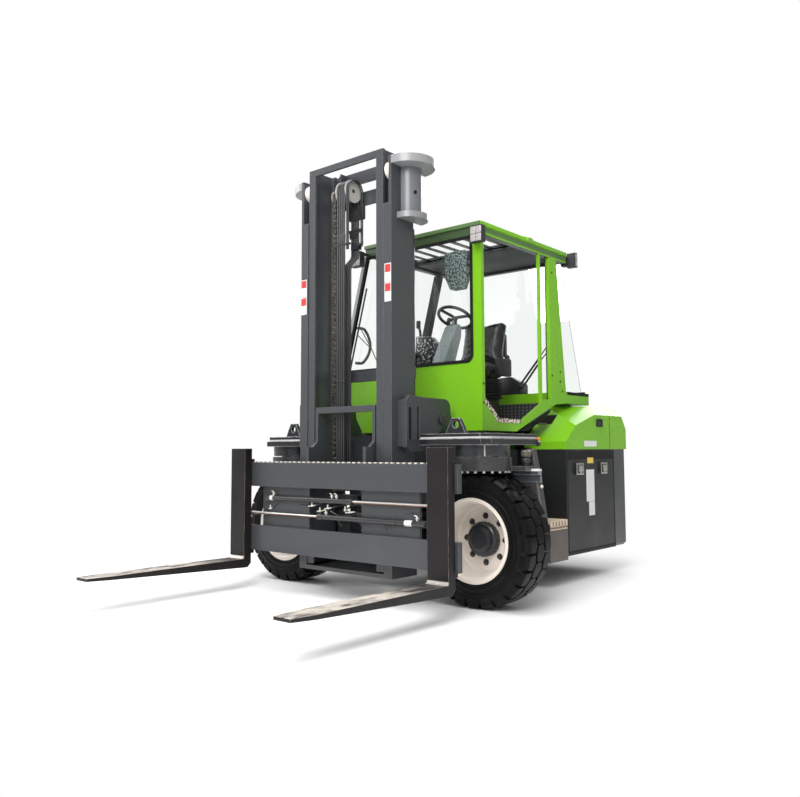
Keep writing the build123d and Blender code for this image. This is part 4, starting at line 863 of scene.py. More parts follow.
@dataclass
class Wheels:
    """Front tyres with their block tread, and the nuts and lips on their rims."""

    x: float = 896.0
    y: float = 585.0
    radius: float = 428.0
    width: float = 280.0
    blocks: int = 24
    groove: float = 18.0
    zigzag: float = 12.0

    def build(self) -> None:
        """Build both front tyres and what sits on their rims."""
        for side, sign in SIDES:
            self._tyre(side, sign)
            self._nuts(side, sign)

    def _tyre(self, side: str, sign: int) -> None:
        """Build one front tyre: a ridged carcass and three staggered rows of blocks."""
        centre = (sign * self.x, self.y, self.radius)
        low = self.radius - self.groove
        half = self.width / 2
        flank = [(half - 14, 266), (half - 2, 276), (half, 288), (half - 6, 292), (half - 6, 298),
                 (half, 303),
                 (half - 1, 322), (half - 6, 326), (half - 6, 332), (half, 337), (half - 2, self.radius - 66),
                 (half - 14, low - 12), (half - 44, low)]
        profile = [(-a, r) for a, r in flank] + list(reversed(flank))
        carcass = Piece().lathe("y", profile, centre, 96)
        parts = [carcass.done(f"carcass_{side}", RUBBER, f"wheel_{side}")]
        parts += [self._row(centre, row) for row in range(3)]
        tyre = joined(f"tyre_tread_{side}", parts, RUBBER, f"wheel_{side}")
        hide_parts(f"tyre_{side}")

    def _section(self, row: int, share: float) -> list[tuple[float, float, float]]:
        """Return a block's outline across the tyre at a share of its half length.

        Args:
            row: 0 and 2 are the shoulders, 1 is the middle.
            share: From -1 to 1, the block's ends.

        Returns:
            Triples of station across the tyre, radius, and how much of the reach the point has.
        """
        top, low = self.radius, self.radius - self.groove - 4
        half = self.width / 2
        end = abs(share) >= 0.99
        lean = self.zigzag * (1 - abs(share))
        cut = 8.0 if end else 0.0
        if row == 1:
            edge = 32 + lean - cut
            return [(-edge, low, 1.0), (-edge, top - 3, 1.0), (-edge + 4, top, 1.0), (edge - 4, top, 1.0),
                    (edge, top - 3, 1.0),
                    (edge, low, 1.0)]
        inner = 57 - lean + cut
        points = [(half - 3, self.radius - 64, 0.84), (half - 1, self.radius - 52, 0.84),
                  (half - 5, self.radius - 18, 0.84),
                  (half - 24, top - 1, 0.88), (inner + 4, top, 1.0), (inner, top - 3, 1.0), (inner, low, 1.0),
                  (half - 46, low, 0.9)]
        sign = -1 if row == 0 else 1
        return [(sign * a, r, reach) for a, r, reach in points]

    def _row(self, centre: Point, row: int) -> bpy.types.Object:
        """Build one row of blocks: each is a curved slab whose outer end falls over the shoulder."""
        seed = Piece()
        pitch = 360.0 / self.blocks
        start = math.radians(pitch / 2 if row == 1 else 0.0)
        reach = math.radians(pitch) / 2 * (0.945 if row == 1 else 0.90)
        rings = []
        for share in (-1.0, -0.84, -0.42, 0.0, 0.42, 0.84, 1.0):
            ring = []
            for y, r, part in self._section(row, share):
                angle = start + share * reach * part
                spot = (centre[0] + r * math.sin(angle), centre[1] + y, centre[2] + r * math.cos(angle))
                ring.append(seed.mesh.verts.new(place(spot)))
            rings.append(ring)
        count = len(rings[0])
        for a, b in zip(rings, rings[1:]):
            for k in range(count):
                n = (k + 1) % count
                seed.mesh.faces.new([a[k], a[n], b[n], b[k]])
        seed.mesh.faces.new(rings[0])
        seed.mesh.faces.new(list(reversed(rings[-1])))
        return REPEATS.in_ring(seed, f"tread_row_{row}", RUBBER, self.blocks, (0.0, pitch, 0.0), centre)

    def _nuts(self, side: str, sign: int) -> None:
        """Build the wheel nuts in their dark seats, the hub's ribs and its bolts."""
        centre = (sign * self.x, self.y, self.radius)
        front = self.y + 26
        nut = Piece().rod("y", 21, (centre[0], centre[2] + 150), (front - 5, front), 16, 2)
        nut.lathe("y", [(-24, 0), (-24, 9), (-20, 13), (-6, 14), (-6, 0)],
                  (centre[0], front, centre[2] + 150), 6)
        parts = [REPEATS.in_ring(nut, "nuts", HUB_BLACK, 8, (0.0, 45.0, 0.0), (centre[0], front, centre[2]))]
        hub = (centre[0], self.y, centre[2])
        bolt = Piece().lathe("y", [(-5, 0), (-5, 6), (0, 6), (0, 0)],
                             (centre[0], self.y - 26, centre[2] + 92), 6)
        parts.append(REPEATS.in_ring(bolt, "bolts", HUB_BLACK, 12, (0.0, 30.0, 0.0), hub))
        rib = Piece().block((centre[0] - 5, centre[0] + 5), (self.y - 22, self.y + 22),
                            (centre[2] + 105, centre[2] + 113), 1.5)
        parts.append(REPEATS.in_ring(rib, "ribs", HUB_BLACK, 24, (0.0, 15.0, 0.0), hub))
        joined(f"wheel_nuts_{side}", parts, HUB_BLACK, f"wheel_{side}")
        ring = Piece().lathe("y", [(-132, 262), (-138, 266), (-138, 272), (-132, 274)], centre, 96)
        ring.done(f"rim_lip_{side}", CREAM_PAINT, f"wheel_{side}")


@dataclass
class LiftChains:
    """Leaf chains over the mast's sheaves, in place of their plain solids."""

    x: float = 222.0
    front: float = 330.0
    loop: float = 40.0
    top: float = 2880.0
    pitch: float = 38.0

    def build(self) -> None:
        """Build both chains' links."""
        parts = []
        rear = self.front + 2 * self.loop
        for sign in (1, -1):
            for y, low in ((self.front, 704.0), (rear, 1652.0)):
                count = int((self.top - low) / self.pitch)
                parts.append(REPEATS.in_row(self._link(sign * self.x, y, low), "run", CHAIN_STEEL, count,
                                            (0.0, 0.0, self.pitch)))
            seed = self._link(sign * self.x, self.front, self.top - self.pitch / 2)
            centre = (sign * self.x, self.front + self.loop, self.top)
            parts.append(REPEATS.in_ring(seed, "bend", CHAIN_STEEL, 4, (-52.0, 0.0, 0.0), centre))
        chains = joined("leaf_chains", parts, CHAIN_STEEL, "mast_inner")
        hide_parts("lift_chains")

    def _link(self, x: float, y: float, z: float) -> Piece:
        """Return one pitch of chain: wide plates, narrow plates between, and two pins."""
        link = Piece()
        for i, offset in enumerate((-15.0, -9.0, -3.0, 3.0, 9.0, 15.0)):
            shift = 0.0 if i % 2 else self.pitch / 2
            z0 = z + shift - 1
            outline = [(y - 6, z0), (y - 10, z0 + 6), (y - 10, z0 + self.pitch - 6), (y - 6, z0 + self.pitch),
                       (y + 6, z0 + self.pitch), (y + 10, z0 + self.pitch - 6), (y + 10, z0 + 6), (y + 6, z0)]
            scaled = [(y + (a - y) * 0.95, z0 + (b - z0) * 0.52 + 1) for a, b in outline]
            link.prism("x", scaled, (x + offset - 2.4, x + offset + 2.4))
        link.rod("x", 4.5, (y, z + self.pitch / 2), (x - 19.5, x + 19.5), 8)
        return link


@dataclass
class Seat:
    """The padded seat: cushion and back with sewn channels, bellows and side boxes."""

    x: float = 60.0
    half: float = 215.0
    puff: float = 0.022

    def build(self) -> None:
        """Build the pads and the seat's frame details."""
        cushion = self._pad("cushion_pad",
                            [(1438, 1606), (1438, 1690), (1470, 1712), (1832, 1712), (1832, 1606)])
        back = self._pad("back_pad", [(1748, 1728), (1850, 1728), (1922, 2078), (1838, 2082)])
        for pad, node in ((cushion, "seat_cushion"), (back, "seat_back")):
            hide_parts(node)
        self._bellows()
        self._boxes()

    def _pad(self, name: str, side: Sequence[Span]) -> bpy.types.Object:
        """Swell one pad from a plain wedge by cloth under pressure, then crease its channels."""
        piece = Piece().prism("x", side, (self.x - self.half + 10, self.x + self.half - 10))
        bmesh.ops.recalc_face_normals(piece.mesh, faces=piece.mesh.faces)
        pad = meshed(name, piece.mesh)
        edge = pad.modifiers.new("edge", "BEVEL")
        edge.width = 0.028
        edge.segments = 4
        remesh = pad.modifiers.new("remesh", "REMESH")
        remesh.mode = "VOXEL"
        remesh.voxel_size = 0.006
        bake(pad)
        self._swell(pad)
        smooth = pad.modifiers.new("smooth", "SMOOTH")
        smooth.iterations = 6
        finer = pad.modifiers.new("finer", "SUBSURF")
        finer.levels = finer.render_levels = 1
        bake(pad)
        self._channels(pad, name)
        return settle(pad, VINYL, "chassis", 60.0)

    def _swell(self, pad: bpy.types.Object) -> None:
        """Blow the pad up with cloth pressure and cap how far each point may move."""
        start = [v.co.copy() for v in pad.data.vertices]
        cloth = pad.modifiers.new("cloth", "CLOTH")
        cloth.settings.use_pressure = True
        cloth.settings.uniform_pressure_force = 4.0
        cloth.settings.effector_weights.gravity = 0.0
        cloth.settings.quality = 4
        scene = bpy.context.scene
        for step in range(1, 21):
            scene.frame_set(step)
        bake(pad)
        scene.frame_set(1)
        for vert, was in zip(pad.data.vertices, start):
            move = vert.co - was
            if move.length > self.puff:
                vert.co = was + move.normalized() * self.puff

    def _channels(self, pad: bpy.types.Object, name: str) -> None:
        """Press the sewn lines into the pad: a border and chevrons on the face the driver meets."""
        for vert in pad.data.vertices:
            x = vert.co.x * 1000 - self.x
            y = vert.co.y * 1000 - Y_ORIGIN
            z = vert.co.z * 1000
            along = (z - 1728) if name == "back_pad" else (1838 - y)
            front = (y < 1800 + (z - 1728) * 0.24) if name == "back_pad" else (z > 1690)
            if not front:
                continue
            press = self._groove(abs(abs(x) - 128), 9.0) * 9.0
            if abs(x) < 128:
                for line in (90, 150, 210, 270):
                    press = max(press, self._groove(abs(along - line + abs(x) * 0.55), 8.0) * 8.0)
            inward = Vector((0.0, 1.0, -0.1)) if name == "back_pad" else Vector((0.0, 0.0, -1.0))
            vert.co += inward.normalized() * press / 1000.0

    @staticmethod
    def _groove(distance: float, width: float) -> float:
        """Return how deep a sewn line is at a distance from it, from 0 to 1."""
        return max(0.0, 1.0 - distance / width) ** 1.5

    def _bellows(self) -> None:
        """Build the ribbed bellows under the cushion."""
        rib = Piece().prism("z", self._rounded(172, 1548, 1872), (1432, 1446))
        rows = [REPEATS.in_row(rib, "rib", SEAL_RUBBER, 6, (0.0, 0.0, 24.0))]
        core = Piece().prism("z", self._rounded(156, 1562, 1860), (1429, 1598))
        rows.append(core.done("core", SEAL_RUBBER))
        joined("seat_bellows", rows, SEAL_RUBBER)

    def _rounded(self, half: float, y0: float, y1: float) -> list[Span]:
        """Return a rectangle with cut corners about the seat's middle."""
        x0, x1, c = self.x - half, self.x + half, 24.0
        return [(x0 + c, y0), (x1 - c, y0), (x1, y0 + c), (x1, y1 - c), (x1 - c, y1), (x0 + c, y1),
                (x0, y1 - c), (x0, y0 + c)]

    def _boxes(self) -> None:
        """Build the seat's side covers, back hinge and adjusters."""
        covers = Piece()
        for sign in (-1, 1):
            x0 = self.x + sign * 216
            covers.block(beside(x0, sign, 0, 54), (1673, 1853), (1610, 1757), 18)
            covers.rod("x", 26, (1850, 1770), beside(x0, sign, 0, 22), 20, 4)
        covers.block((self.x - 150, self.x + 150), (1930, 1975), (1790, 1990), 16)
        covers.done("seat_covers", DARK_PLASTIC)


@dataclass
class Cab:
    """What the cab carries: seals, wipers, lamps, plates, fittings and the entry's edges."""

    front: float = 885.0
    left: float = 690.0

    def build(self) -> None:
        """Build the cab's fittings."""
        self._seals()
        self._wipers()
        self._lamps()
        self._entry()
        self._posts()
        self._inside()
        self._controls()

    @staticmethod
    def _corner(x: float, z: float, radius: float, start: float) -> list[Span]:
        """Return a quarter turn of points about a corner's centre."""
        steps = [math.radians(start + 15 * i) for i in range(7)]
        return [(x + radius * math.cos(a), z + radius * math.sin(a)) for a in steps]

    def _seals(self) -> None:
        """Build the black seals around the windscreen, round at its foot, and at the rear glass's foot."""
        seal = Piece()
        y = (self.front - 4, self.front + 19)
        outer = [(-664, 1629)] + self._corner(561, 1689, 60, -90) + [(621, 2560)]
        inner = [(597, 2560)] + list(reversed(self._corner(555, 1695, 42, -90))) + [(-657, 1653)]
        seal.prism("y", outer + inner, y)
        seal.prism("y", [(-664, 1629), (-640, 1629), (-390, 2556), (-415, 2556)], y)
        seal.block((-410, 620), y, (2536, 2560), 3)
        seal.done("windscreen_seal", SEAL_RUBBER)
        corner = Piece().prism("y", [(622, 1628)] + list(reversed(self._corner(561, 1689, 60, -90))),
                               (self.front, self.front + 16))
        corner.done("windscreen_corner", GREEN_PAINT)
        foot = Piece().block((-660, 660), (2473, 2498), (1483, 1500), 4)
        foot.block((self.left, self.left + 1.5), (2120, 2500), (1458, 1483), 0.5)
        foot.block((-662, 662), (2500, 2501.5), (1446, 1483), 0.5)
        foot.done("rear_glass_seal", SEAL_RUBBER)

    def _wipers(self) -> None:
        """Build the front wiper with its two arms, and the rear pair of arms."""
        wiper = Piece()
        blade = [(-398, 2299), (-489, 1975), (-580, 1651)]
        wiper.pipe([(x, 868, z) for x, z in blade], 7, smooth=False)
        for sign in (-1, 1):
            wiper.pipe([(-489 + sign * 8, 860, 1975 + sign * 40), (-330, 852, 1800), (-250, 862, 1640)], 4,
                       smooth=False)
        wiper.block((-275, -225), (850, 884), (1600, 1660), 5)
        wiper.done("front_wiper", DARK_PLASTIC)
        rear = Piece()
        for run in (((242, 1553), (452, 1791), (550, 1913)), ((274, 1538), (456, 1757), (549, 1855))):
            foot, middle, tip = [(x, 2105, z) for x, z in run]
            rear.pipe([foot, middle], 9, smooth=False)
            rear.pipe([middle, tip], 5, smooth=False)
            rear.rod("y", 15, (foot[0], foot[2]), (2092, 2114), 16, 3)
        rear.done("rear_wiper", DARK_PLASTIC)
        cover = Piece()
        cover.prism("y", [(5, 1483), (5, 1600), (30, 1634), (150, 1640), (236, 1592), (254, 1560),
                          (254, 1483)], (2112, 2230))
        cover.done("wiper_motor_cover", DARK_PLASTIC, bevel=5)

    def _lamps(self) -> None:
        """Build the work lamps' rims, their lens cells and the rear lamp's housing."""
        rims = Piece()
        cells = Piece()
        for x0, x1 in ((663, 763), (-501, -401)):
            y = self.front - 88
            rims.block((x0 - 2, x1 + 2), (y - 1, y + 10), (2468, 2592), 3)
            for i in range(2):
                for k in range(2):
                    cells.block((x0 + 5 + i * 46, x0 + 50 + i * 46), (y - 4, y),
                                (2476 + k * 55, 2530 + k * 55), 5)
            for k in range(5):
                rims.block((x0 + 4, x1 - 4), (y + 44, y + 56), (2482 + k * 22, 2492 + k * 22), 2)
        rims.block((750, 757), (2182, 2223), (2528, 2652), 3)
        rims.block((640, 682), (2146, 2200), (2540, 2628), 8)
        for i in range(2):
            for k in range(2):
                cells.block((757, 760), (2186 + i * 18, 2201 + i * 18), (2536 + k * 56, 2586 + k * 56), 2)
        rims.done("lamp_rims", DARK_PLASTIC)
        cells.done("lamp_lenses", LENS)

    def _entry(self) -> None:
        """Build the grit strip along the entry's lower edge."""
        strip = Piece()
        edge = [(926, 1369), (1100, 1229), (1392, 1229)]
        strip.prism("x", edge + [(1392, 1204), (1090, 1204), (912, 1347)], (self.left, self.left + 2))
        strip.prism("x", edge + [(1392, 1234), (1104, 1236), (930, 1376)], (self.left - 30, self.left + 2))
        strip.done("entry_grit_strip", GRIT_STRIP)

    def _posts(self) -> None:
        """Build the plugs on the cab's posts, the roof's guard and edges, and its side bracket."""
        plugs = Piece()
        for y, z in ((905, 1341), (905, 1475), (1880, 1600), (1900, 2440), (2010, 1560), (2012, 1640),
                     (2040, 1480)):
            plugs.rod("x", 8, (y, z), (self.left, self.left + 3), 12)
        plugs.done("post_plugs", SEAL_RUBBER)
        front = Piece().block((-432, 694), (self.front - 12, self.front), (2618, 2648), 4)
        front.done("roof_front_edge", SHADED_GREEN)
        guard = Piece()
        for x, y in (((-427, 690), (885, 930)), ((-427, 690), (2097, 2142)), ((-427, -377), (930, 2097)),
                     ((640, 690), (930, 2097))):
            guard.block(x, y, (2560, 2640), 2)
        guard.block((-377, 640), (1480, 2097), (2610, 2630))
        bar = Piece().block((-268, -232), (928, 1482), (2609, 2618), 1)
        bars = REPEATS.in_row(bar, "bars", ROOF_PAINT, 7, (127.1, 0.0, 0.0))
        # The roof paint puts painted shade on the guard's front face.
        whole = joined("roof_guard", [guard.done("frame", ROOF_PAINT), bars], ROOF_PAINT)
        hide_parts("overhead_guard")
        edge = Piece()
        edge.block((self.left, self.left + 10), (self.front, 2142), (2618, 2648), 4)
        edge.prism("y", [(self.left + 10, 2618), (self.left + 34, 2640), (self.left + 34, 2646),
                         (self.left - 20, 2664),
                         (self.left - 20, 2640)], (1500, 1560))
        edge.done("roof_edges", GREEN_PAINT)

    def _inside(self) -> None:
        """Build the lining under the roof, its hanging console and the grab handle."""
        lining = Piece()
        lining.block((-368, 630), (1490, 2090), (2578, 2604), 6)
        lining.done("roof_lining", LINING, bevel=4)
        console = Piece()
        console.prism("y", [(195, 2535), (386, 2535), (386, 2330), (350, 2240), (240, 2240), (195, 2330)],
                      (1120, 1200))
        console.done("hanging_console", PEBBLED_GREY, bevel=8)
        handle = Piece().pipe([(-610, 960, 1720), (-560, 1010, 1730), (-545, 1010, 1990), (-590, 960, 2010)],
                              12)
        handle.done("grab_handle", DARK_PLASTIC)

    def _controls(self) -> None:
        """Build the display, lever knobs and pedals, and the lever console with its tall lever."""
        knobs = Piece()
        for y in (1300, 1370, 1440):
            knobs.lathe("z", [(0, 0), (0, 10), (10, 19), (34, 21), (50, 14), (56, 0)], (-300, y, 1768), 16)
        knobs.block((-240, -205), (1180, 1236), (1700, 1880), 10)
        for x in (150, 240):
            knobs.block((x, x + 60), (1030, 1130), (1290, 1302), 4)
            knobs.block((x + 24, x + 36), (1000, 1040), (1218, 1300), 2)
        knobs.done("control_knobs", DARK_PLASTIC)
        side = [(-338, 1640), (-212, 1640), (-196, 1705), (-118, 1885), (-168, 1944), (-322, 1962)]
        console = Piece().prism("y", side, (1392, 1480))
        console.done("lever_console", SPOTTED_BLACK, bevel=10)
        lever = Piece().pipe([(-296, 1430, 1940), (-304, 1430, 2010), (-318, 1430, 2050)], 11)
        lever.rod("z", 19, (-320, 1430), (2030, 2096), 16, 6)
        lever.done("tall_lever", DARK_PLASTIC)


@dataclass
class Bodywork:
    """Hood, battery box, deck and step details."""

    half: float = 900.0
    slope: float = 0.7925

    def build(self) -> None:
        """Build the details on the body's sides."""
        self._hood()
        self._slots()
        self._sill_trim()
        self._doors()
        self._deck()
        self._steps()

    def _hood(self) -> None:
        """Build the hood's latches, seams and blank plate."""
        dark = Piece()
        dark.block((self.half, self.half + 4), (2205, 2303), (1192, 1254), 12)
        dark.block((self.half + 4, self.half + 7), (2228, 2282), (1206, 1240), 3)
        dark.block((self.half, self.half + 1.2), (2446, 2450), (1010, 1284))
        dark.mirrored()
        dark.done("hood_latches", DARK_PLASTIC)
        plate = Piece().block((self.half, self.half + 1.5), (1992, 2205), (1031, 1078))
        plate.done("hood_blank_plate", PALE_PLATE)

    def _slots(self) -> None:
        """Build the slanted vents on both hoods' front slopes."""
        vent = Piece()
        x0, x1, y0, y1 = 548, 672, 1882, 1966
        for k in range(4):
            a = y0 + k * (y1 - y0) / 4
            b = a + (y1 - y0) / 4 - 5
            side = [(a, self._rise(a) + 1), (b, self._rise(b) + 1), (b - 3, self._rise(b) + 6),
                    (a - 3, self._rise(a) + 6)]
            vent.prism("x", side, (x0 + k * 3, x1 - 22 + k * 7))
        low, high = self._rise(y0 - 5), self._rise(y1 + 5)
        vent.prism("x", [(y0 - 5, low), (y1 + 5, high), (y1 + 3, high + 3), (y0 - 7, low + 3)],
                   (x0 - 6, x1 + 6))
        vent.mirrored()
        vent.done("hood_vents", SEAL_RUBBER)

    def _sill_trim(self) -> None:
        """Build the black trim between the cab's cut sill and the hood."""
        trim = Piece()
        trim.prism("x", [(1378, 1147), (1560, 1217), (1860, 1332), (1842, 1302), (1690, 1226), (1515, 1149)],
                   (590, 684))
        for k in range(3):
            y = 1500 + k * 70
            z = 1157 + k * 30
            trim.prism("x", [(y, z), (y + 60, z + 26), (y + 62, z + 20), (y + 4, z - 5)], (684, 687))
        trim.mirrored()
        trim.done("sill_trims", SEAL_RUBBER)

    def _rise(self, y: float) -> float:
        """Return the height of the hood's front slope at a station."""
        return 1071.0 + (y - 1700.0) * self.slope

    def _doors(self) -> None:
        """Build the battery doors' dark top bands, seams, clasps and blank plates."""
        for side, sign in SIDES:
            body = f"battery_door_{side}"
            band = Piece()
            self._flat(band, sign, 0.0, 1.2, (1718, 2502), (930, 992))
            for y0, y1, z0, z1 in ((1714, 1722, 224, 992), (2498, 2506, 224, 992), (1714, 2506, 224, 236)):
                self._flat(band, sign, 0.0, 1.0, (y0, y1), (z0, z1))
            band.rod("x", 14, (2091, 975), beside(0, sign, self.half, self.half + 6), 20, 2)
            band.done(f"door_seals_{side}", SEAL_RUBBER, body)
            clasp = Piece()
            heart = Piece()
            for y0, y1 in ((1824, 1942), (2240, 2354)):
                self._flat(clasp, sign, 12, 20, (y0, y1), (812, 903), 6)
                self._flat(heart, sign, 20, 21.5, (y0 + 12, y1 - 12), (824, 891), 1)
                self._flat(clasp, sign, 20, 30, (y0 + 26, y1 - 26), (838, 884), 5)
                self._flat(clasp, sign, 20, 26, (y0 + 44, y1 - 44), (818, 838), 2)
                self._flat(clasp, sign, 0, 12, (y0 + 20, y1 - 20), (826, 889), 2)
            clasp.done(f"door_clasps_{side}", ZINC, body)
            heart.done(f"clasp_wells_{side}", DARK_PLASTIC, body)
            plate = Piece()
            for y0, y1, z0, z1 in ((2015, 2150, 598, 849), (2054, 2150, 487, 596)):
                self._flat(plate, sign, 0, 1.5, (y0, y1), (z0, z1))
            plate.done(f"door_blank_plates_{side}", PALE_PLATE, body)
            small = Piece()
            self._flat(small, sign, 1.2, 2.6, (2036, 2137), (899, 944))
            small.done(f"door_small_plate_{side}", YELLOW_PLATE, body)

    def _flat(self, piece: Piece, sign: int, near: float, far: float, y: Span, z: Span,
              chamfer: float = 0.0) -> None:
        """Add a block that stands proud of one side of the body."""
        piece.block(beside(0, sign, self.half + near, self.half + far), y, z, chamfer)

    def _deck(self) -> None:
        """Build the deck end's blank plates and the skirt between deck and cab."""
        pale = Piece().block((1061, 1083), (996, 1000.8), (1034, 1070))
        pale.done("deck_end_plate", PALE_PLATE)
        warm = Piece().block((1061, 1083), (996, 1001.4), (1066, 1092))
        warm.done("deck_end_orange_plate", ORANGE_PLATE)
        skirt = Piece().block((-640, 640), (889, 897), (1114, 1152), 2)
        skirt.block((1055, 1088), (984, 998), (1031, 1060), 2)
        skirt.done("cab_skirt", BLACK_PAINT)

    def _steps(self) -> None:
        """Build the entry steps' ribbed treads, whose teeth fall over the outer edges, and dark strips of
        painted shade in the gaps between the teeth.
        """
        parts = []
        base = Piece()
        for inner, outer in ((644, 905), (-905, -644)):
            tooth = [(0, 424), (0, 476), (5, 484), (24, 484), (29, 476), (29, 424)]
            rib = Piece().prism("x", [(1437 + y, z) for y, z in tooth], (inner, outer))
            parts.append(REPEATS.in_row(rib, "rib", STEP_RIB, 6, (0.0, 44.6, 0.0)))
            lip = Piece().block((inner, outer), (1437, 1689), (414, 440), 2)
            parts.append(lip.done("lip", STEP_RIB))
            # Painted shade: a dark strip fills the gaps between the ribs.
            base.block((max(inner, -902), min(outer, 902)), (1438, 1688), (438, 474), 1)
        joined("step_ribs", parts, STEP_RIB)
        base.done("step_gap_shade", SEAL_RUBBER)


@dataclass
class Carriage:
    """The carriage's tooth rack, positioner glands, ports and hoses, and the forks' rubbed heels."""

    half: float = 1048.0

    def build(self) -> None:
        """Build the carriage's small parts."""
        # The teeth take the pale zinc partly as a painted highlight: it stands for the sky's glint on their
        # tops, though they are pale on every face.
        tooth = Piece().block((-self.half, -self.half + 24), (74, 94), (920, 929), 2)
        rack = REPEATS.in_row(tooth, "position_rack", PALE_ZINC, 44, (48.0, 0.0, 0.0))
        settle(rack, PALE_ZINC, "carriage")
        self._cylinders()
        self._hoses()
        self._heels()

    def _heels(self) -> None:
        """Build the rubbed fillets where the blades meet the shanks."""
        for side, x in (("left", 967.0), ("right", -897.0)):
            heel = Piece().prism("x", [(0, 220), (-22, 220), (-13, 222), (-6, 226), (-2, 232), (0, 240)],
                                 (x - 79, x + 79))
            heel.done(f"fork_heel_{side}", HEEL_STEEL, f"fork_{side}")

    def _cylinders(self) -> None:
        """Build the positioners' glands, ports and labels, and the block between them."""
        ends = Piece()
        for x, z in ((166, 665), (-653, 665), (-114, 552), (785, 552)):
            ends.rod("x", 23, (92, z), (x - 24, x + 24), 24, 3)
        for x in (330, 560):
            ends.rod("x", 21, (92, 552), (x - 5, x + 5), 20, 1)
        ends.block((-40, 100), (232, 289), (630, 700), 4)
        ends.done("positioner_glands", BLACK_PAINT, "carriage")
        ports = Piece()
        for x, z in ((-600, 665), (-4, 665), (40, 665), (-60, 552), (740, 552)):
            ports.rod("z", 6, (x, 92), (z + 14, z + 30), 12, 1)
            ports.block((x - 8, x + 8), (85, 101), (z + 26, z + 38), 2)
            ports.pipe([(x, 93, z + 34), (x - 8, 93, z + 46), (x - 24, 94, z + 50)], 4.5)
        for i in range(4):
            ports.rod("y", 8, (-22 + i * 34, 660), (212, 234), 12, 2)
        for x, z, run in ((-652, 586, 44), (-215, 623, 70), (-135, 590, 60), (-58, 612, 66), (106, 607, 20),
                          (150, 594, 84)):
            ports.pipe([(x - run / 2, 108, z - 4), (x, 106, z), (x + run / 2, 108, z + 5)], 5)
            ports.rod("x", 9, (108, z), (x - 8, x + 8), 6, 2)
            ports.rod("z", 6, (x, 106), (z, z + 26), 8, 1)
        ports.done("positioner_ports", PALE_ZINC, "carriage")
        labels = Piece()
        for x, z in ((-628, 665), (675, 552)):
            labels.lathe("x", [(-30, 17), (-30, 18.9), (30, 18.9), (30, 17)], (x, 92, z), 24)
        labels.done("positioner_labels", PALE_PLATE, "carriage")

    def _hoses(self) -> None:
        """Build the thin hoses that feed the positioners."""
        hoses = Piece()
        for run in (
            ((-674, 104, 582), (-720, 118, 540), (-700, 124, 620), (-628, 100, 700)),
            ((-630, 108, 590), (-540, 116, 640), (-400, 120, 632), (-250, 108, 619)),
            ((-180, 108, 628), (-120, 118, 650), (-40, 118, 690), (-28, 94, 715)),
            ((-24, 96, 596), (20, 116, 572), (90, 120, 566), (190, 116, 580), (290, 124, 590),
             (330, 150, 560)),
            ((716, 94, 602), (640, 116, 612), (540, 124, 596), (330, 122, 574), (190, 112, 598)),
            ((-104, 108, 584), (-60, 140, 556), (120, 150, 530), (300, 140, 545)),
            ((46, 212, 660), (40, 190, 640), (10, 140, 630), (-26, 108, 616)),
            ((116, 108, 612), (160, 130, 640), (260, 140, 640), (300, 150, 610)),
        ):
            hoses.pipe(run, 5)
        for x in (60, 255, 463):
            hoses.pipe([(x, 92, 575), (x - 18, 78, 552), (x, 92, 528), (x + 34, 84, 500)], 3)
        hoses.done("positioner_hoses", HOSE_RUBBER, "carriage")


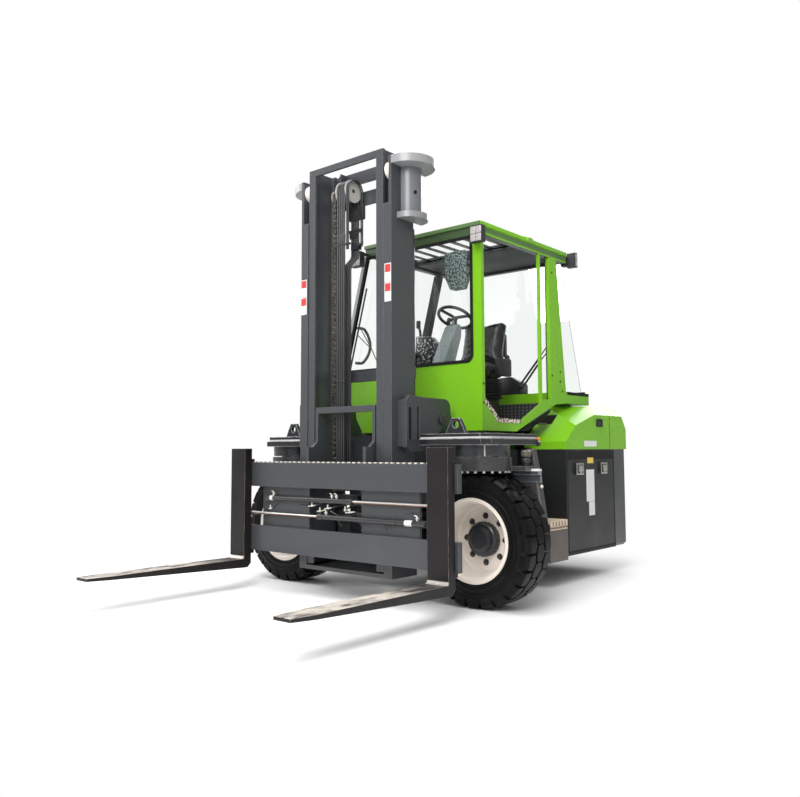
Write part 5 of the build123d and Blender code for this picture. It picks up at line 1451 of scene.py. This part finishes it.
@dataclass
class Mast:
    """The mast's blank plates, slot trims, hose clamps, side hoses and valve."""

    def build(self) -> None:
        """Build the mast's small parts."""
        white = Piece()
        red = Piece()
        for x0, x1 in ((380, 438), (-442, -380)):
            for i in range(2):
                z = 1999 + i * 131
                white.block((x0, x1), (198.4, 200), (z, z + 128))
                red.block((x0 + 5, x1 - 5), (197.8, 198.4), (z + 68, z + 122))
        white.done("mast_blank_plates", PALE_PLATE, "mast_outer")
        red.done("mast_red_plates", RED_PLATE, "mast_outer")
        self._slot_trims()
        self._hose_clamps()
        self._side_hoses()

    def _side_hoses(self) -> None:
        """Build the two short hoses that loop beside the hose sheave, and the valve behind it."""
        loop = [math.radians(15 * i) for i in range(13)]
        hoses = Piece()
        for x in (-37.0, -22.0):
            bend = [(x, 340 - 75 * math.cos(a), 2885 + 75 * math.sin(a)) for a in loop]
            hoses.pipe([(x, 265, 2440), *bend, (x, 415, 2500)], 5.5, smooth=False)
        hoses.done("mast_side_hoses", HOSE_RUBBER, "mast_inner")
        valve = Piece().block((-150, -8), (398, 432), (2690, 2790), 6)
        valve.block((-158, -30), (400, 430), (2600, 2622), 4)
        for x, z in ((-148, 2560), (-40, 2572), (-96, 2540)):
            valve.rod("z", 9, (x, 424), (z, z + 60), 12, 2)
        valve.done("mast_valve", BLACK_PAINT, "mast_inner")
        body = Piece().rod("z", 14, (-122, 432), (2622, 2690), 20, 3)
        for x in (-150, -60):
            body.rod("y", 7, (x, 2612), (428, 446), 12, 1)
        body.done("mast_valve_body", PALE_ZINC, "mast_inner")

    def _slot_trims(self) -> None:
        """Build the dark slots with raised rims on the pivot plates' outer faces."""
        rim = Piece()
        well = Piece()
        for piece, half, thick in ((rim, 20, 3.0), (well, 13, 4.0)):
            arc = [math.radians(15 * i) for i in range(13)]
            outline = [(294 + half * math.cos(a), 1282 + half * math.sin(a)) for a in arc]
            outline += [(294 - half * math.cos(a), 1088 - half * math.sin(a)) for a in arc]
            piece.prism("x", outline, (514, 514 + thick))
            piece.mirrored()
        rim.done("pivot_slot_rims", STEEL_PAINT, "mast_outer")
        well.done("pivot_slot_wells", SEAL_RUBBER, "mast_outer")

    def _hose_clamps(self) -> None:
        """Build the clamp bars over the hoses, front and rear."""
        clamps = Piece()
        for z in (2480, 1500):
            clamps.block((-138, -6 if z > 2000 else -52), (255, 277), (z - 7, z + 7), 3)
        clamps.block((-140, -70), (398, 432), (2560, 2600), 5)
        clamps.block((-120, -50), (392, 436), (2470, 2520), 6)
        clamps.rod("y", 9, (-40, 2500), (388, 430), 12, 2)
        for x in (-126.5, -105.5, -84.5, -63.5):
            clamps.rod("z", 10.5, (x, 265.7), (2500, 2560), 12, 2)
        clamps.done("hose_clamps", BLACK_PAINT, "mast_inner")


@dataclass
class Turrets:
    """Bolts on the yokes' flanges, the drums' strips, the pads' beads, and sensors and caps."""

    x: float = 896.0
    y: float = 585.0

    def build(self) -> None:
        """Build the turrets' details."""
        for side, sign in SIDES:
            x = sign * self.x
            bolt = Piece().lathe("z", [(-14, 0), (-14, 9), (0, 9), (0, 0)], (x, self.y - 172, 872), 6)
            ring = REPEATS.in_ring(bolt, f"turret_bolts_{side}", PALE_ZINC, 20, (0.0, 0.0, 18.0),
                                   (x, self.y, 872))
            settle(ring, PALE_ZINC, f"steer_{side}")
            strip = Piece().block((x - 4, x + 4), (self.y - 182, self.y - 170), (966, 1037), 1)
            strip.turn(sign * 38.0, "z", (x, self.y, 1000))
            strip.done(f"drum_strip_{side}", PALE_ZINC)
            span = beside(x, sign, 137, 348)
            # The bead's pale top band, from its finish, is a painted highlight.
            bead = Piece().block(span, (727.5, 741.5), (798, 884), 2)
            bead.block(span, (708, 734), (846, 885), 9)
            bead.block(beside(x, sign, 205, 285), (676, 742), (874, 887), 3)
            bead.done(f"yoke_pad_bead_{side}", PAD_GLOSS, f"steer_{side}")
            sensor = Piece().lathe("z", [(886, 0), (886, 34), (893, 34), (894, 24), (928, 24), (930, 30),
                                         (944, 30), (946, 26),
                                         (962, 26), (964, 33), (996, 33), (1003, 24), (1005, 0)],
                                   (x + sign * 254, 706, 0), 28)
            sensor.done(f"steering_sensor_{side}", COPPER_CAP, f"steer_{side}")
            bolt = Piece().rod("x", 8, (745, 771), beside(x, sign, 340, 352), 12, 2)
            bolt.rod("x", 13, (745, 771), beside(x, sign, 338, 346), 6, 1)
            bolt.done(f"yoke_side_bolt_{side}", PALE_ZINC, f"steer_{side}")
            cap = Piece().lathe("z", [(0, 0), (0, 30), (5, 26), (5, 12), (9, 10), (9, 0)],
                                (sign * 1030, 930, 1014), 24)
            cap.done(f"motor_cap_{side}", BLACK_PAINT, f"steer_{side}")


class Studio:
    """Floor, lights and camera."""

    def build(self) -> None:
        """Build the studio around the truck."""
        self._camera()
        self._world()
        self._floor()
        self._lamp("key_lamp", (3.1, -6.6, 5.4), 4.0, 510.0)
        self._lamp("fill_lamp", (-6.2, -1.6, 4.2), 4.0, 210.0)
        self._lamp("rim_lamp", (-1.4, 7.2, 4.8), 3.5, 210.0)
        self._lamp("top_lamp", (0.4, -1.5, 7.0), 5.0, 380.0)

    def _camera(self) -> None:
        """Set the camera that the photograph was taken with."""
        data = bpy.data.cameras.new("camera")
        width, focal = 800, 797.7
        data.sensor_width = 36.0
        data.lens = focal / width * data.sensor_width
        data.shift_x = -(400.8 - 400) / width
        data.shift_y = (386.8 - 398.5) / width
        data.clip_end = 100
        camera = bpy.data.objects.new("camera", data)
        bpy.context.scene.collection.objects.link(camera)
        camera.location = (3.8726, -4.5473, 1.0012)
        camera.rotation_euler = (math.radians(94.6), math.radians(0.2), math.radians(40.2))
        bpy.context.scene.camera = camera

    def _world(self) -> None:
        """Light the scene from all around and show white behind it."""
        world = bpy.data.worlds.new("studio")
        bpy.context.scene.world = world
        world.use_nodes = True
        nodes = Nodes(world.node_tree)
        path = nodes.add("ShaderNodeLightPath").outputs
        seen = nodes.math("MAXIMUM", path["Is Camera Ray"], path["Is Transmission Ray"])
        light = {"Color": (1, 1, 1, 1), "Strength": nodes.ranged(seen, 0.0, 1.0, 0.45, 1.0)}
        nodes.put(nodes.tree.nodes["Background"], light)

    def _floor(self) -> None:
        """Lay a pale floor that turns into the white backdrop away from the truck."""
        made = meshed("floor", Piece().block((-30000, 30000), (-30000, 30000), (-20, 0)).mesh)
        paint = bpy.data.materials.new("pale_floor")
        paint.use_nodes = True
        nodes = Nodes(paint.node_tree)
        shader = nodes.tree.nodes["Principled BSDF"]
        nodes.put(shader, {"Base Color": (0.9, 0.9, 0.9, 1), "Roughness": 0.9})
        reach = nodes.vector("LENGTH", {0: nodes.where()})
        seen = nodes.add("ShaderNodeLightPath").outputs["Is Camera Ray"]
        white = nodes.math("MULTIPLY", nodes.ranged(reach, 1.6, 3.6, kind="SMOOTHSTEP"), seen)
        glow = nodes.add("ShaderNodeEmission").outputs[0]
        mixed = nodes.add("ShaderNodeMixShader", {0: white, 1: shader.outputs[0], 2: glow})
        nodes.put(nodes.tree.nodes["Material Output"], {"Surface": mixed.outputs[0]})
        made.data.materials.append(paint)

    def _lamp(self, name: str, where: Point, size: float, power: float) -> None:
        """Hang one soft square lamp that looks at the truck's middle."""
        data = bpy.data.lights.new(name, "AREA")
        data.size = size
        data.energy = power
        lamp = bpy.data.objects.new(name, data)
        lamp.location = where
        lamp.rotation_euler = (Vector((0.0, -0.2, 1.0)) - Vector(where)).to_track_quat("-Z", "Y").to_euler()
        bpy.context.scene.collection.objects.link(lamp)


def dress_nodes() -> None:
    """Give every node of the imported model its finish."""
    slots = {part["node"]: Slot(part["material_slot"]) for part in frame["record"]["subparts"]}
    for name, node in frame["nodes"].items():
        finish = NODE_EXCEPTIONS.get(name, NODE_FINISHES[slots[name]])
        for holder in node.material_slots:
            holder.material = finish.material()
        LOG.info("%s: %s", name, finish.name)


def main() -> None:
    """Build the studio and every sub-assembly."""
    logging.basicConfig(level=logging.INFO, format="%(message)s")
    bpy.context.scene.view_settings.view_transform = "Standard"
    Studio().build()
    dress_nodes()
    for assembly in (Wheels(), LiftChains(), Seat(), Cab(), Bodywork(), Carriage(), Mast(), Turrets()):
        assembly.build()


if __name__ == "__main__":
    main()
